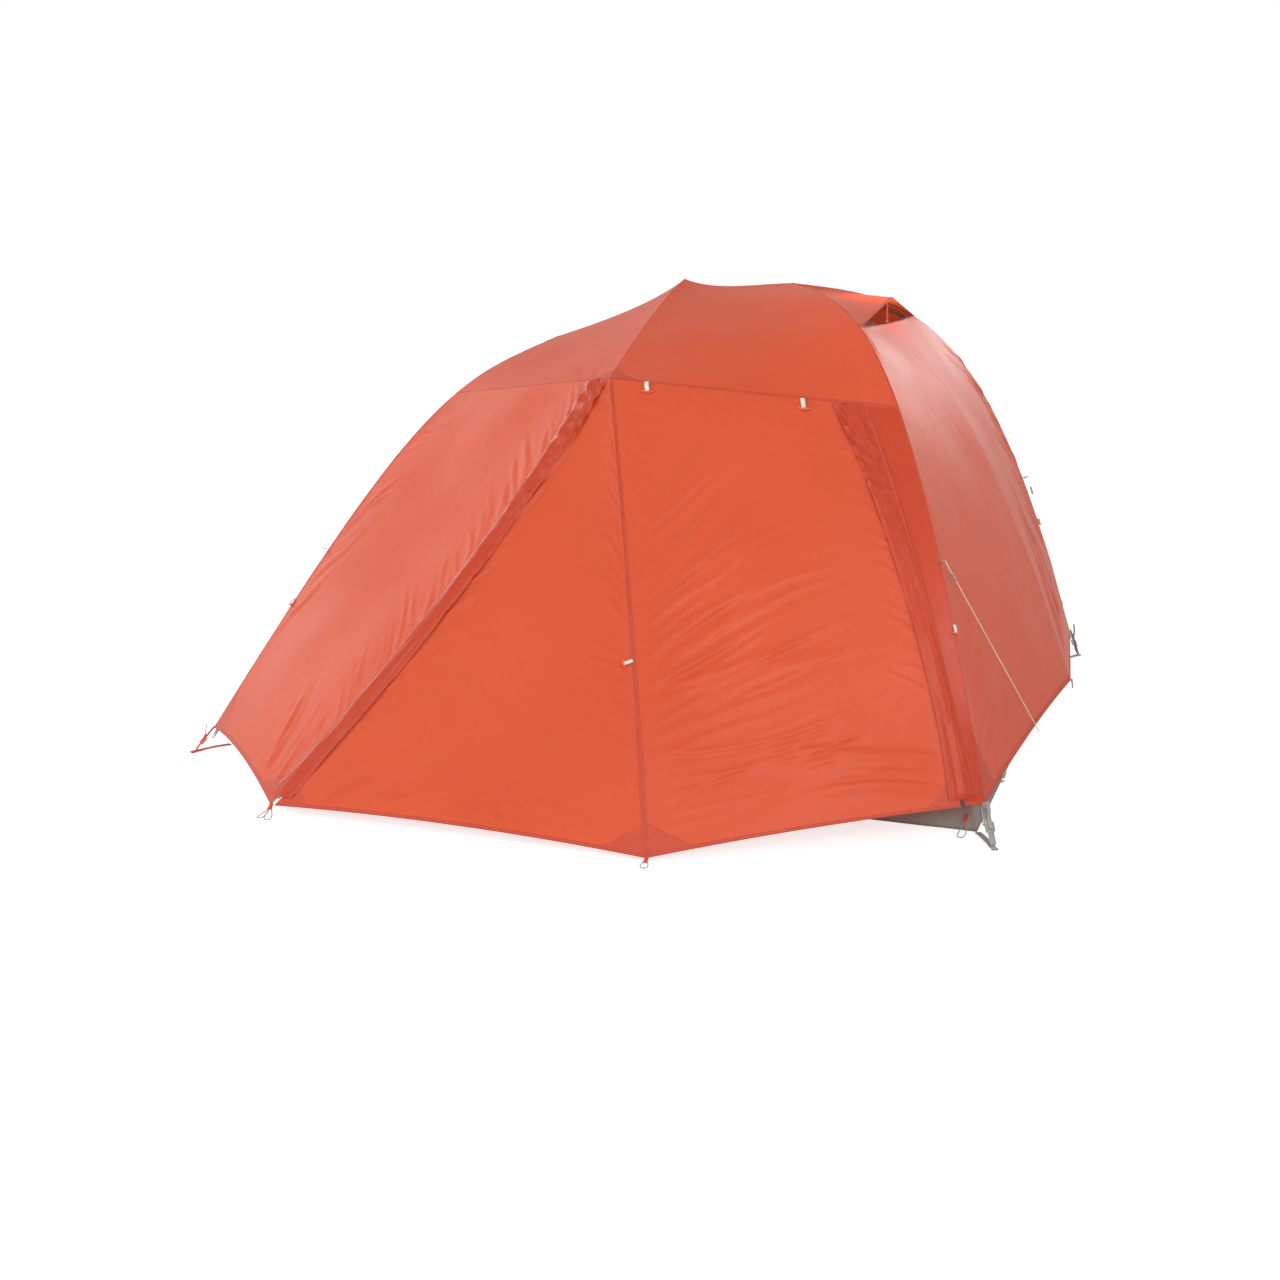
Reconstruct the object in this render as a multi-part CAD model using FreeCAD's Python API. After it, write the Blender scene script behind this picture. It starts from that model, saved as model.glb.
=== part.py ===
"""Free-standing double-wall camping tent with two mirrored side doors, pitched with its fly on.

Frame: +X towards the steep, vented end, -Y towards the front door, +Z up, millimetres.
The origin is on the ground under the middle of the tent. Everything on the back (+Y) side
mirrors the front. Fabric panels are thin closed sheets; neighbours share their seam lines.
"""
import FreeCAD, Part
import math
import os
from FreeCAD import Vector

# ---------------------------------------------------------------- driving dimensions
STAKE_X, STAKE_Y = 1220.0, 1090.0          # pole feet, half spacing along and across
HUB_RIGHT = Vector(363, 0, 1415)           # fly over the right hub
HUB_LEFT = Vector(-450, 0, 1233)           # fly over the left hub
PEAK = Vector(0, 0, 1425)                  # fly over the middle of the brow pole
BROW_END = Vector(0, -685, 1155)           # fly over the front end of the brow pole
LEG_BENDS_RIGHT = (Vector(882, -718, 1373), Vector(649, -344, 1364))
LEG_BENDS_LEFT = (Vector(-755, -432, 1074), Vector(-684, -331, 1099))
BROW_BENDS = (Vector(0, -220, 1375), Vector(0, -460, 1255))
RIDGE_BENDS_LEFT = (Vector(-320, 0, 1275), Vector(-120, 0, 1338))
RIDGE_BENDS_RIGHT = (Vector(110, 0, 1386), Vector(240, 0, 1412))
SIDE_TIP = Vector(-690, -1520, 30)         # hem corner of the left zip
DOOR_TIP = Vector(410, -1510, 15)          # hem end of the door's middle seam
RIGHT_ZIP_TOP_X = 700.0                    # along the seam from the brow end
RIGHT_ZIP_FOOT = Vector(1150, -1100, 108)
LEFT_ZIP_TOP_X = -50.0
END_HEM_RIGHT = Vector(1302, 0, 186)       # middle of the right end's hem
END_HEM_LEFT = Vector(-1302, 0, 130)
VENT_PEAK = Vector(687, 0, 1374)           # front point of the propped vent hood
VENT_LIP_SAG, HOOD_SAG = 6.0, 34.0
# how far each hem's middle rises above the straight line between its corners
SIDE_HEM_LIFT, LEFT_DOOR_HEM_LIFT, RIGHT_DOOR_HEM_LIFT, END_HEM_LIFT = 34.0, 16.0, 9.0, 20.0
LEG_T_HEM_RIGHT, LEG_T_SEAM_RIGHT, LEG_T_VENT = 0.026, 0.409, 0.615
LEG_T_HEM_LEFT, LEG_T_SEAM_LEFT = 0.022, 0.615

FABRIC = 1.5                               # sheet thickness
POLE_R, POLE_BORE_R = 4.5, 3.8
POLE_DEPTH = 21.0                          # pole axis below the fly
BROW_DEPTH, BROW_TOP_DEPTH = 18.0, 33.0
FERRULE_LENGTH, FERRULE_WALL = 46.0, 0.7
JOINT_GAP = 0.6                            # between a length of pole and the next
LEG_T_TIP = 0.014
RIDGE_POLE_BENDS = (Vector(-235, 0, 1292), Vector(-25, 0, 1410))
HUB_SOCKET, HUB_SOCKET_R, HUB_BALL_R = 42.0, 7.5, 10.5
POLE_START = 16.0                          # pole ends this far from a hub's centre

FLOOR_X, FLOOR_Y = 1170.0, 990.0           # half floor size
TUB_HEIGHT, TUB_LEAN_X, TUB_LEAN_Y, FLOOR_SHEET = 140.0, 46.0, 36.0, 2.5
INNER_DEPTH = 78.0                         # inner canopy below the fly along the poles
INNER_BROW = Vector(0, -590, 1065)
INNER_PEAK = Vector(0, 0, 1335)

ZIP_WIDTH, ZIP_GAP, ZIP_THICK = 8.0, 12.0, 2.4
FLAP_LIFT, FLAP_OVER, FLAP_INSIDE, FLAP_TOP = 13.0, 34.0, 20.0, 0.06
SEAM_GAP = 3.0
WEBBING_WIDTH, WEBBING_THICK = 20.0, 1.6
CORD_R = 1.3

# small hardware: each size is (length, width, thickness) unless its name says otherwise
SLIDER, SLIDER_PULL = (20.0, 11.0, 4.0), (30.0, 5.0, 1.6)
SLIDER_ABOVE_HEM, SLIDER_PROUD, PULL_REACH = 62.0, 5.2, 24.0
TOGGLE_STRAP, TOGGLE_BAR_R, TOGGLE_BAR_HALF = (28.0, 4.0, 2.4), 3.2, 16.0
TOGGLE_DROP, TOGGLE_PROUD = 6.0, 5.0
STRUT_WIDTH, STRUT_THICK = 16.0, 2.2
STRUT_FOOT_SHIFT, STRUT_HEAD_SHIFT = Vector(-6, 0, 5), Vector(-16, 0, -7)
TIP_COLLAR, TIP_PIN_R, TIP_PIN, TIP_BALL_R = 6.0, 3.0, 12.0, 3.6
POLE_FIT = 0.3                             # clearance round a pole in a socket
SWIVEL_R, SWIVEL_BELOW, SWIVEL_TOP_GAP, SWIVEL_CUT = 9.0, 7.0, 8.0, 20.0
CLIP_LENGTH, CLIP_WALL, CLIP_FIT, CLIP_CUT = 18.0, 3.0, 0.5, 30.0
CLIP_STRAP, CLIP_STRAP_DROP = (48.0, 12.0, 1.6), 28.0
BUCKLE_LENGTH, BUCKLE_RIM, BUCKLE_THICK, BUCKLE_FIT = 26.0, 9.0, 6.0, 1.2
BUCKLE_WINDOW, BUCKLE_WINDOW_SHIFT = 9.0, 4.0
FLOOR_STRAP_RIM, FLOOR_STRAP_THICK = 4.0, 2.0
GROUND_LOOP_R, HEM_LOOP_R = 13.0, 10.0
GROUND_LOOP_OUT, HEM_LOOP_DOWN = 20.0, 12.0
GUY_TAB, GUY_TAB_OUT, GUYLINE_OUT = (18.0, 12.0, 2.4), 11.0, 24.0
LEG_TOGGLE, LEG_TOGGLE_OUT = (14.0, 16.0, 5.0), 9.5
TANGENT_STEP = 0.01                        # step of a leg's parameter that gives its direction
TENSIONER, TENSIONER_DOWN = (26.0, 9.0, 7.0), 60.0
TOGGLE_X = {"left": 111.0, "right": 570.0} # roll-up toggles along the top seam
LEG_T_GUY_RIGHT, LEG_T_GUY_LEFT = 0.214, 0.232
LEG_T_TOGGLE_RIGHT, LEG_T_TOGGLE_LEFT = 0.157, 0.163
GUY_FOOT = 0.52                            # guyline's foot, as a share of the end hem's half

SIDE_ROWS, ROOF_ROWS = 8, 5
LEFT_COLUMNS, DOOR_COLUMNS, END_COLUMNS = 5, 6, 8
VENT_ROWS = 2

os.makedirs("parts", exist_ok=True)


# ---------------------------------------------------------------- curves and sheets
def mirror(point):
    return Vector(point.x, -point.y, point.z)


def unit(vector):
    return Vector(vector).normalize()


def bezier(points, t):
    a, b, c, d = points
    s = 1.0 - t
    return a * s ** 3 + b * (3 * s * s * t) + c * (3 * s * t * t) + d * t ** 3


def sample(curve, start, end, count):
    return [curve(start + (end - start) * k / count) for k in range(count + 1)]


def line(a, b, count, lift=0.0):
    """Points from a to b; lift raises the middle, as a catenary-cut hem is raised."""
    points = []
    for k in range(count + 1):
        t = k / count
        points.append(a + (b - a) * t + Vector(0, 0, 4 * lift * t * (1 - t)))
    return points


def inward(point):
    """Unit direction from a point of the fly into the tent."""
    x = max(-350.0, min(350.0, point.x * 0.3))
    return unit(Vector(x, 0, 350) - point)


def sink(point, depth):
    return point + inward(point) * depth


def coons(top, bottom, left, right, sag=0.0):
    """Grid of points spanning four border polylines; sag pulls the middle inward."""
    rows, columns = len(left) - 1, len(top) - 1
    grid = []
    for i in range(rows + 1):
        v = i / rows
        row = []
        for j in range(columns + 1):
            u = j / columns
            sides = left[i] * (1 - u) + right[i] * u
            ends = top[j] * (1 - v) + bottom[j] * v
            corners = ((top[0] * (1 - u) + top[-1] * u) * (1 - v)
                       + (bottom[0] * (1 - u) + bottom[-1] * u) * v)
            point = sides + ends - corners
            row.append(sink(point, sag * 16 * u * (1 - u) * v * (1 - v)))
        grid.append(row)
    return grid


def sheet(grid, thickness=FABRIC, lift=0.0, skip=()):
    """Closed sheet over a grid of points. skip lists the cells, row and column, left open."""
    rows, columns = len(grid) - 1, len(grid[0]) - 1
    cells = {(i, j) for i in range(rows) for j in range(columns)} - set(skip)
    points, index = [], {}

    def corner(i, j, depth):
        point = sink(grid[i][j], depth)
        key = (round(point.x, 3), round(point.y, 3), round(point.z, 3))
        if key not in index:
            index[key] = len(points)
            points.append(point)
        return index[key]

    triangles = []

    def add(a, b, c):
        if len({a, b, c}) == 3:
            triangles.append((a, b, c))

    for i, j in sorted(cells):
        for depth, flip in ((-lift, False), (thickness - lift, True)):
            ring = [corner(i, j, depth), corner(i + 1, j, depth),
                    corner(i + 1, j + 1, depth), corner(i, j + 1, depth)]
            if flip:
                ring = [ring[0], ring[3], ring[2], ring[1]]
            if (i + j) % 2:
                add(ring[0], ring[1], ring[2])
                add(ring[0], ring[2], ring[3])
            else:
                add(ring[1], ring[2], ring[3])
                add(ring[1], ring[3], ring[0])
        edges = {(i - 1, j): ((i, j + 1), (i, j)), (i + 1, j): ((i + 1, j), (i + 1, j + 1)),
                 (i, j - 1): ((i, j), (i + 1, j)), (i, j + 1): ((i + 1, j + 1), (i, j + 1))}
        for neighbour, (p, q) in edges.items():
            if neighbour in cells:
                continue
            a, b = corner(*p, -lift), corner(*q, -lift)
            c, d = corner(*p, thickness - lift), corner(*q, thickness - lift)
            low_first = tuple(points[a]) < tuple(points[b])
            if low_first:
                add(b, a, d)
                add(a, c, d)
            else:
                add(b, a, c)
                add(b, c, d)
    shell = Part.Shape()
    shell.makeShapeFromMesh(([tuple(p) for p in points], triangles), 0.001)
    solid = Part.makeSolid(Part.Shell(shell.Faces))
    if solid.Volume < 0:
        solid.reverse()
    return solid


def mirrored(grid):
    return [[mirror(point) for point in row] for row in grid]


def both_sides(name_front, name_back, grid, **options):
    export(name_front, [sheet(grid, **options)])
    export(name_back, [sheet(mirrored(grid), **options)])


def mirror_solid(solid):
    return solid.mirror(Vector(0, 0, 0), Vector(0, 1, 0))


def export(name, solids):
    for solid in solids:
        if not solid.isValid() or solid.Volume <= 0:
            print("CHECK", name, "valid", solid.isValid(), "volume", solid.Volume)
    shape = solids[0] if len(solids) == 1 else Part.makeCompound(solids)
    shape.exportStep("parts/" + name + ".step")


def block(centre, along, across, length, width, height):
    """Box centred on a point; its height runs along the cross of the two directions."""
    x = unit(along)
    z = unit(x.cross(across))
    y = z.cross(x)
    box = Part.makeBox(length, width, height, Vector(-length / 2, -width / 2, -height / 2))
    matrix = FreeCAD.Matrix(x.x, y.x, z.x, centre.x, x.y, y.y, z.y, centre.y,
                            x.z, y.z, z.z, centre.z, 0, 0, 0, 1)
    box.Placement = FreeCAD.Placement(matrix)
    return box


def rod(a, b, radius):
    return Part.makeCylinder(radius, (b - a).Length, a, b - a)


class Bend:
    """Circular arc through three points, for a bent length of pole and what sits on it."""

    def __init__(self, a, middle, b):
        self.start, self.end = a, b
        self.centre = Part.Arc(a, middle, b).toShape().Curve.Center
        self.axis = unit((a - self.centre).cross(b - self.centre))
        self.radius = (a - self.centre).Length
        self.length = self.radius * (a - self.centre).getAngle(b - self.centre)

    def tangent(self, point):
        return unit(self.axis.cross(point - self.centre))

    def tube(self, outer, inner, skip, length):
        """Hollow ring segment from a distance past the start, for a length along the arc."""
        turn = FreeCAD.Rotation(self.axis, math.degrees(skip / self.radius))
        start = self.centre + turn.multVec(self.start - self.centre)
        circles = [Part.Wire(Part.makeCircle(r, start, self.tangent(start)))
                   for r in (outer, inner)]
        face = Part.Face(circles[0]).cut(Part.Face(circles[1])).Faces[0]
        return face.revolve(self.centre, self.axis, math.degrees(length / self.radius))


# ---------------------------------------------------------------- the tent's lines
FOOT_RIGHT, FOOT_LEFT = Vector(STAKE_X, -STAKE_Y, 0), Vector(-STAKE_X, -STAKE_Y, 0)


def leg_right(t):
    return bezier((FOOT_RIGHT, *LEG_BENDS_RIGHT, HUB_RIGHT), t)


def leg_left(t):
    return bezier((FOOT_LEFT, *LEG_BENDS_LEFT, HUB_LEFT), t)


def brow(t):
    return bezier((PEAK, *BROW_BENDS, BROW_END), t)


def ridge_left(t):
    return bezier((HUB_LEFT, *RIDGE_BENDS_LEFT, PEAK), t)


def ridge_right(t):
    return bezier((PEAK, *RIDGE_BENDS_RIGHT, HUB_RIGHT), t)


SEAM_LEFT_END = leg_left(LEG_T_SEAM_LEFT)
SEAM_RIGHT_END = leg_right(LEG_T_SEAM_RIGHT)
HEM_LEFT, HEM_RIGHT = leg_left(LEG_T_HEM_LEFT), leg_right(LEG_T_HEM_RIGHT)


def on_seam(x):
    end = SEAM_LEFT_END if x < 0 else SEAM_RIGHT_END
    return BROW_END + (end - BROW_END) * (x / end.x)


LEFT_ZIP_TOP, RIGHT_ZIP_TOP = on_seam(LEFT_ZIP_TOP_X), on_seam(RIGHT_ZIP_TOP_X)


def bowed(a, b, bow):
    """Gently bowed curve from a to b, off the straight line by about 3/4 of bow."""
    return (a, a + (b - a) * (1 / 3) + bow, b - (b - a) * (1 / 3) + bow, b)


def left_zip(t):
    return bezier(bowed(LEFT_ZIP_TOP, SIDE_TIP, Vector(70, 0, 0)), t)


def right_zip(t):
    return bezier(bowed(RIGHT_ZIP_TOP, RIGHT_ZIP_FOOT, Vector(61, -36, 0)), t)


def middle_seam(t):
    return bezier(bowed(BROW_END, DOOR_TIP, Vector(12, -12, 4)), t)


BROW_LINE = sample(brow, 0, 1, ROOF_ROWS)
LEFT_SIDE_LINE = sample(leg_left, LEG_T_SEAM_LEFT, LEG_T_HEM_LEFT, SIDE_ROWS)
RIGHT_SIDE_LINE = sample(leg_right, LEG_T_SEAM_RIGHT, LEG_T_HEM_RIGHT, SIDE_ROWS)
LEFT_ROOF_LINE = sample(leg_left, 1, LEG_T_SEAM_LEFT, ROOF_ROWS)
HOOD_LINE = sample(leg_right, 1, LEG_T_VENT, VENT_ROWS)
RIGHT_ROOF_LINE = HOOD_LINE + sample(leg_right, LEG_T_VENT, LEG_T_SEAM_RIGHT,
                                     ROOF_ROWS - VENT_ROWS)[1:]
LEFT_SEAM = line(SEAM_LEFT_END, LEFT_ZIP_TOP, LEFT_COLUMNS)
RIGHT_SEAM = line(BROW_END, RIGHT_ZIP_TOP, DOOR_COLUMNS)
LEFT_ZIP_LINE = sample(left_zip, 0, 1, SIDE_ROWS)
RIGHT_ZIP_LINE = sample(right_zip, 0, 1, SIDE_ROWS)

# ---------------------------------------------------------------- fly, fixed panels
roof_left = coons(sample(ridge_left, 0, 1, LEFT_COLUMNS + 1), LEFT_SEAM + [BROW_END],
                  LEFT_ROOF_LINE, BROW_LINE, sag=12)
roof_right = coons(sample(ridge_right, 0, 1, DOOR_COLUMNS + 1), RIGHT_SEAM + [SEAM_RIGHT_END],
                   BROW_LINE, RIGHT_ROOF_LINE, sag=8)
side_panel = coons(LEFT_SEAM, line(HEM_LEFT, SIDE_TIP, LEFT_COLUMNS, lift=SIDE_HEM_LIFT),
                   LEFT_SIDE_LINE, LEFT_ZIP_LINE, sag=14)
strip_panel = coons([RIGHT_ZIP_TOP, SEAM_RIGHT_END], [RIGHT_ZIP_FOOT, HEM_RIGHT],
                    RIGHT_ZIP_LINE, RIGHT_SIDE_LINE)
both_sides("fly_front_roof_left", "fly_back_roof_left", roof_left)
both_sides("fly_front_roof_right", "fly_back_roof_right", roof_right)
both_sides("fly_front_side", "fly_back_side", side_panel)
both_sides("fly_front_strip", "fly_back_strip", strip_panel)


def end_hem(corner, middle):
    half = line(corner, middle, END_COLUMNS // 2, lift=END_HEM_LIFT)
    return half + [mirror(point) for point in reversed(half[:-1])]


left_end_side = LEFT_ROOF_LINE + LEFT_SIDE_LINE[1:]
end_left = coons([HUB_LEFT] * (END_COLUMNS + 1), end_hem(HEM_LEFT, END_HEM_LEFT),
                 left_end_side, [mirror(p) for p in left_end_side], sag=20)
right_end_side = RIGHT_ROOF_LINE[VENT_ROWS:] + RIGHT_SIDE_LINE[1:]
vent_corner = right_end_side[0]
vent_lip = line(vent_corner, mirror(vent_corner), END_COLUMNS, lift=-VENT_LIP_SAG)
end_right = coons(vent_lip, end_hem(HEM_RIGHT, END_HEM_RIGHT),
                  right_end_side, [mirror(p) for p in right_end_side], sag=24)
export("fly_end_left", [sheet(end_left)])
export("fly_end_right", [sheet(end_right)])

# vent hood: a peaked cap from the hub to its propped front edge
hood_front = (line(vent_corner, VENT_PEAK, END_COLUMNS // 2)
              + line(VENT_PEAK, mirror(vent_corner), END_COLUMNS // 2)[1:])
hood = coons([HUB_RIGHT] * (END_COLUMNS + 1), hood_front, HOOD_LINE,
             [mirror(p) for p in HOOD_LINE], sag=HOOD_SAG)
export("vent_hood", [sheet(hood)])

lip_middle = vent_lip[END_COLUMNS // 2]
strut_foot = lip_middle + STRUT_FOOT_SHIFT
strut_head = VENT_PEAK + STRUT_HEAD_SHIFT
export("vent_strut", [block((strut_foot + strut_head) * 0.5, strut_head - strut_foot,
                            Vector(0, 1, 0), (strut_head - strut_foot).Length, STRUT_WIDTH,
                            STRUT_THICK)])

# ---------------------------------------------------------------- doors and their zips
door_down = unit(DOOR_TIP - BROW_END)


def beside(curve_line, towards, distance):
    """Border moved sideways within the panel, towards another border line."""
    return [p + unit(q - p) * distance for p, q in zip(curve_line, towards)]


SEAM_LINE = sample(middle_seam, 0, 1, SIDE_ROWS)
door_left_edge = beside(LEFT_ZIP_LINE, SEAM_LINE, ZIP_GAP)
door_right_edge = beside(RIGHT_ZIP_LINE, SEAM_LINE, ZIP_GAP)
drop = door_down * SEAM_GAP
for edge in (door_left_edge, SEAM_LINE, door_right_edge):
    edge[0] = edge[0] + drop
door_left = coons(line(door_left_edge[0], SEAM_LINE[0], LEFT_COLUMNS),
                  line(door_left_edge[-1], DOOR_TIP, LEFT_COLUMNS, lift=LEFT_DOOR_HEM_LIFT),
                  door_left_edge, SEAM_LINE, sag=10)
door_right = coons(line(SEAM_LINE[0], door_right_edge[0], DOOR_COLUMNS),
                   line(DOOR_TIP, door_right_edge[-1], DOOR_COLUMNS, lift=RIGHT_DOOR_HEM_LIFT),
                   SEAM_LINE, door_right_edge, sag=-18)
both_sides("door_front_left", "door_back_left", door_left)
both_sides("door_front_right", "door_back_right", door_right)


def flap_grid(zip_line, fixed, door):
    """Storm flap: three columns, over the fixed panel, over the zip and over the door."""
    rows = []
    for k, p in enumerate(zip_line):
        over = p + unit(fixed[k] - p) * FLAP_OVER
        under = p + unit(door[k] - p) * FLAP_INSIDE
        rows.append([over, p, under])
    first = [a + (b - a) * (FLAP_TOP * SIDE_ROWS) for a, b in zip(rows[0], rows[1])]
    last = [a + (b - a) * 0.97 for a, b in zip(rows[-2], rows[-1])]
    return [first] + rows[1:-1] + [last]


side_column = [row[-2] for row in side_panel]
strip_column = [row[-1] for row in strip_panel]
flap_left = flap_grid(LEFT_ZIP_LINE, side_column, SEAM_LINE)
flap_right = flap_grid(RIGHT_ZIP_LINE, strip_column, SEAM_LINE)
flaps = [sheet(g, thickness=1.2, lift=FLAP_LIFT) for g in (flap_left, flap_right)]
export("door_front_flaps", flaps)
export("door_back_flaps", [mirror_solid(f) for f in flaps])


def zip_grid(zip_line):
    return [[p + unit(q - p) * 0.4, p + unit(q - p) * ZIP_WIDTH]
            for p, q in zip(zip_line, SEAM_LINE)]


chains = [sheet(zip_grid(z), thickness=ZIP_THICK, lift=0.8)
          for z in (LEFT_ZIP_LINE, RIGHT_ZIP_LINE)]
export("zip_chains", chains + [mirror_solid(c) for c in chains])


def slider(zip_line):
    """Slider body and pull, just above the closed end of the zip."""
    low, high = zip_line[-1], zip_line[-2]
    along = unit(high - low)
    across = unit(SEAM_LINE[-1] - low)
    outward = inward(low) * -1
    centre = (low + along * SLIDER_ABOVE_HEM + across * (ZIP_WIDTH / 2)
              + outward * SLIDER_PROUD)
    body = block(centre, along, across, *SLIDER)
    pull = block(centre - along * PULL_REACH, along, across, *SLIDER_PULL)
    return body.fuse(pull)


for side, zip_line in (("left", LEFT_ZIP_LINE), ("right", RIGHT_ZIP_LINE)):
    piece = slider(zip_line)
    export("zip_slider_front_" + side, [piece])
    export("zip_slider_back_" + side, [mirror_solid(piece)])


def toggle(at):
    """Roll-up toggle hanging from the door's top edge: a strap and a crossbar."""
    outward = inward(at) * -1
    along = unit(SEAM_RIGHT_END - BROW_END)
    top = at + door_down * TOGGLE_DROP + outward * TOGGLE_PROUD
    length = TOGGLE_STRAP[0]
    strap = block(top + door_down * (length / 2), door_down, along, *TOGGLE_STRAP)
    bar_middle = top + door_down * (length + TOGGLE_BAR_R / 2)
    bar = rod(bar_middle - along * TOGGLE_BAR_HALF, bar_middle + along * TOGGLE_BAR_HALF,
              TOGGLE_BAR_R)
    return strap.fuse(bar)


for side, x in TOGGLE_X.items():
    piece = toggle(on_seam(x))
    export("door_toggle_front_" + side, [piece])
    export("door_toggle_back_" + side, [mirror_solid(piece)])

# ---------------------------------------------------------------- poles
hub_right = HUB_RIGHT - Vector(0, 0, POLE_DEPTH)
hub_left = HUB_LEFT - Vector(0, 0, POLE_DEPTH)
brow_top = PEAK - Vector(0, 0, BROW_TOP_DEPTH)


def bends(points):
    """One arc for every two steps along a pole's axis."""
    return [Bend(*points[k:k + 3]) for k in range(0, len(points) - 2, 2)]


def pole(arcs):
    """Separate bent lengths of a pole, and the sleeve at each joint between them."""
    lengths = [arc.tube(POLE_R, POLE_BORE_R, JOINT_GAP, arc.length - 2 * JOINT_GAP)
               for arc in arcs]
    sleeves = [arc.tube(POLE_R + 0.1 + FERRULE_WALL, POLE_R + 0.1, JOINT_GAP, FERRULE_LENGTH)
               for arc in arcs[1:]]
    return lengths, sleeves


def towards(a, b, distance):
    return a + unit(b - a) * distance


def leg_axis(leg, hub):
    points = [sink(leg(LEG_T_TIP + (1 - LEG_T_TIP) * k / 8), POLE_DEPTH) for k in range(8)]
    return points + [towards(hub, points[-1], POLE_START)]


def tip(arc):
    """Pole tip: a collar below the pole's end and a narrower rounded pin."""
    direction = arc.tangent(arc.start) * -1
    end = arc.start
    collar = Part.makeCylinder(POLE_R + JOINT_GAP, TIP_COLLAR, end, direction)
    pin = Part.makeCylinder(TIP_PIN_R, TIP_PIN, end, direction)
    ball = Part.makeSphere(TIP_BALL_R, end + direction * TIP_PIN)
    return collar.fuse(pin).fuse(ball)


all_sleeves, tips, sockets = [], [], {}
leg_axes = {"right": leg_axis(leg_right, hub_right), "left": leg_axis(leg_left, hub_left)}
for name, axis in leg_axes.items():
    arcs = bends(axis)
    pieces, sleeves = pole(arcs)
    export("leg_pole_front_" + name, pieces)
    export("leg_pole_back_" + name, [mirror_solid(p) for p in pieces])
    all_sleeves += sleeves + [mirror_solid(p) for p in sleeves]
    tips.append(tip(arcs[0]))
    end, direction = arcs[-1].end, arcs[-1].tangent(arcs[-1].end)
    sockets[name] = [(end, direction), (mirror(end), mirror(direction))]

ridge_line = [bezier((hub_left, *RIDGE_POLE_BENDS, hub_right), k / 6) for k in range(7)]
ridge_line[0] = towards(ridge_line[0], ridge_line[1], POLE_START)
ridge_line[-1] = towards(ridge_line[-1], ridge_line[-2], POLE_START)
arcs = bends(ridge_line)
pieces, sleeves = pole(arcs)
export("ridge_pole", pieces)
all_sleeves += sleeves
sockets["left"].append((arcs[0].start, arcs[0].tangent(arcs[0].start) * -1))
sockets["right"].append((arcs[-1].end, arcs[-1].tangent(arcs[-1].end)))

half_brow = [sink(brow(t), BROW_DEPTH) for t in (0.97, 0.70, 0.42)]
brow_arcs = bends(half_brow + [brow_top] + [mirror(p) for p in reversed(half_brow)])
pieces, sleeves = pole(brow_arcs)
export("brow_pole", pieces)
export("pole_ferrules", all_sleeves + sleeves)
tips.append(tip(brow_arcs[0]))
export("pole_tips", [piece for t in tips for piece in (t, mirror_solid(t))])


def hub(centre, ends):
    """Hub: a ball with one socket for each pole end that points into it."""
    body = Part.makeSphere(HUB_BALL_R, centre)
    for end, direction in ends:
        base = end + direction * POLE_START
        body = body.fuse(Part.makeCylinder(HUB_SOCKET_R, HUB_SOCKET, base, direction * -1))
    for end, direction in ends:
        bore = Part.makeCylinder(POLE_R + POLE_FIT, HUB_SOCKET, end, direction * -1)
        body = body.cut(bore)
    return body


export("hub_right", [hub(hub_right, sockets["right"])])
export("hub_left", [hub(hub_left, sockets["left"])])

ridge_cross = min((arcs[1].centre + FreeCAD.Rotation(arcs[1].axis, math.degrees(s / arcs[1].radius))
                   .multVec(arcs[1].start - arcs[1].centre) for s in range(int(arcs[1].length))),
                  key=lambda p: abs(p.x))
swivel_foot = ridge_cross - Vector(0, 0, SWIVEL_BELOW)
swivel = Part.makeCylinder(SWIVEL_R, PEAK.z - SWIVEL_TOP_GAP - swivel_foot.z, swivel_foot)
for crossing, slope in ((ridge_cross, arcs[1].tangent(ridge_cross)), (brow_top, Vector(0, 1, 0))):
    swivel = swivel.cut(rod(crossing - slope * SWIVEL_CUT, crossing + slope * SWIVEL_CUT,
                            POLE_R + POLE_FIT))
export("brow_swivel_hub", [swivel])

# ---------------------------------------------------------------- inner tent
def frustum(x, y, lean_x, lean_y, low, high):
    def ring(px, py, z):
        return Part.makePolygon([Vector(-px, -py, z), Vector(px, -py, z), Vector(px, py, z),
                                 Vector(-px, py, z), Vector(-px, -py, z)])
    return Part.makeLoft([ring(x, y, low), ring(x - lean_x, y - lean_y, high)], True, True)


outer_tub = frustum(FLOOR_X, FLOOR_Y, TUB_LEAN_X, TUB_LEAN_Y, 0, TUB_HEIGHT)
inner_tub = frustum(FLOOR_X - FLOOR_SHEET, FLOOR_Y - FLOOR_SHEET, TUB_LEAN_X * 1.02,
                    TUB_LEAN_Y * 1.02, FLOOR_SHEET, TUB_HEIGHT + 1)
export("floor_tub", [outer_tub.cut(inner_tub)])

TUB_TOP = Vector(FLOOR_X - TUB_LEAN_X - 1, -(FLOOR_Y - TUB_LEAN_Y - 1), TUB_HEIGHT)


def inner_leg(leg, corner, count):
    """Inner canopy corner line, from its hub down to the tub's corner."""
    line_points = []
    for k in range(count + 1):
        t = k / count
        point = sink(leg(1.0 - 0.90 * t), INNER_DEPTH)
        pull = max(0.0, (t - 0.72) / 0.28) ** 2
        line_points.append(point * (1 - pull) + corner * pull)
    return line_points


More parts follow.
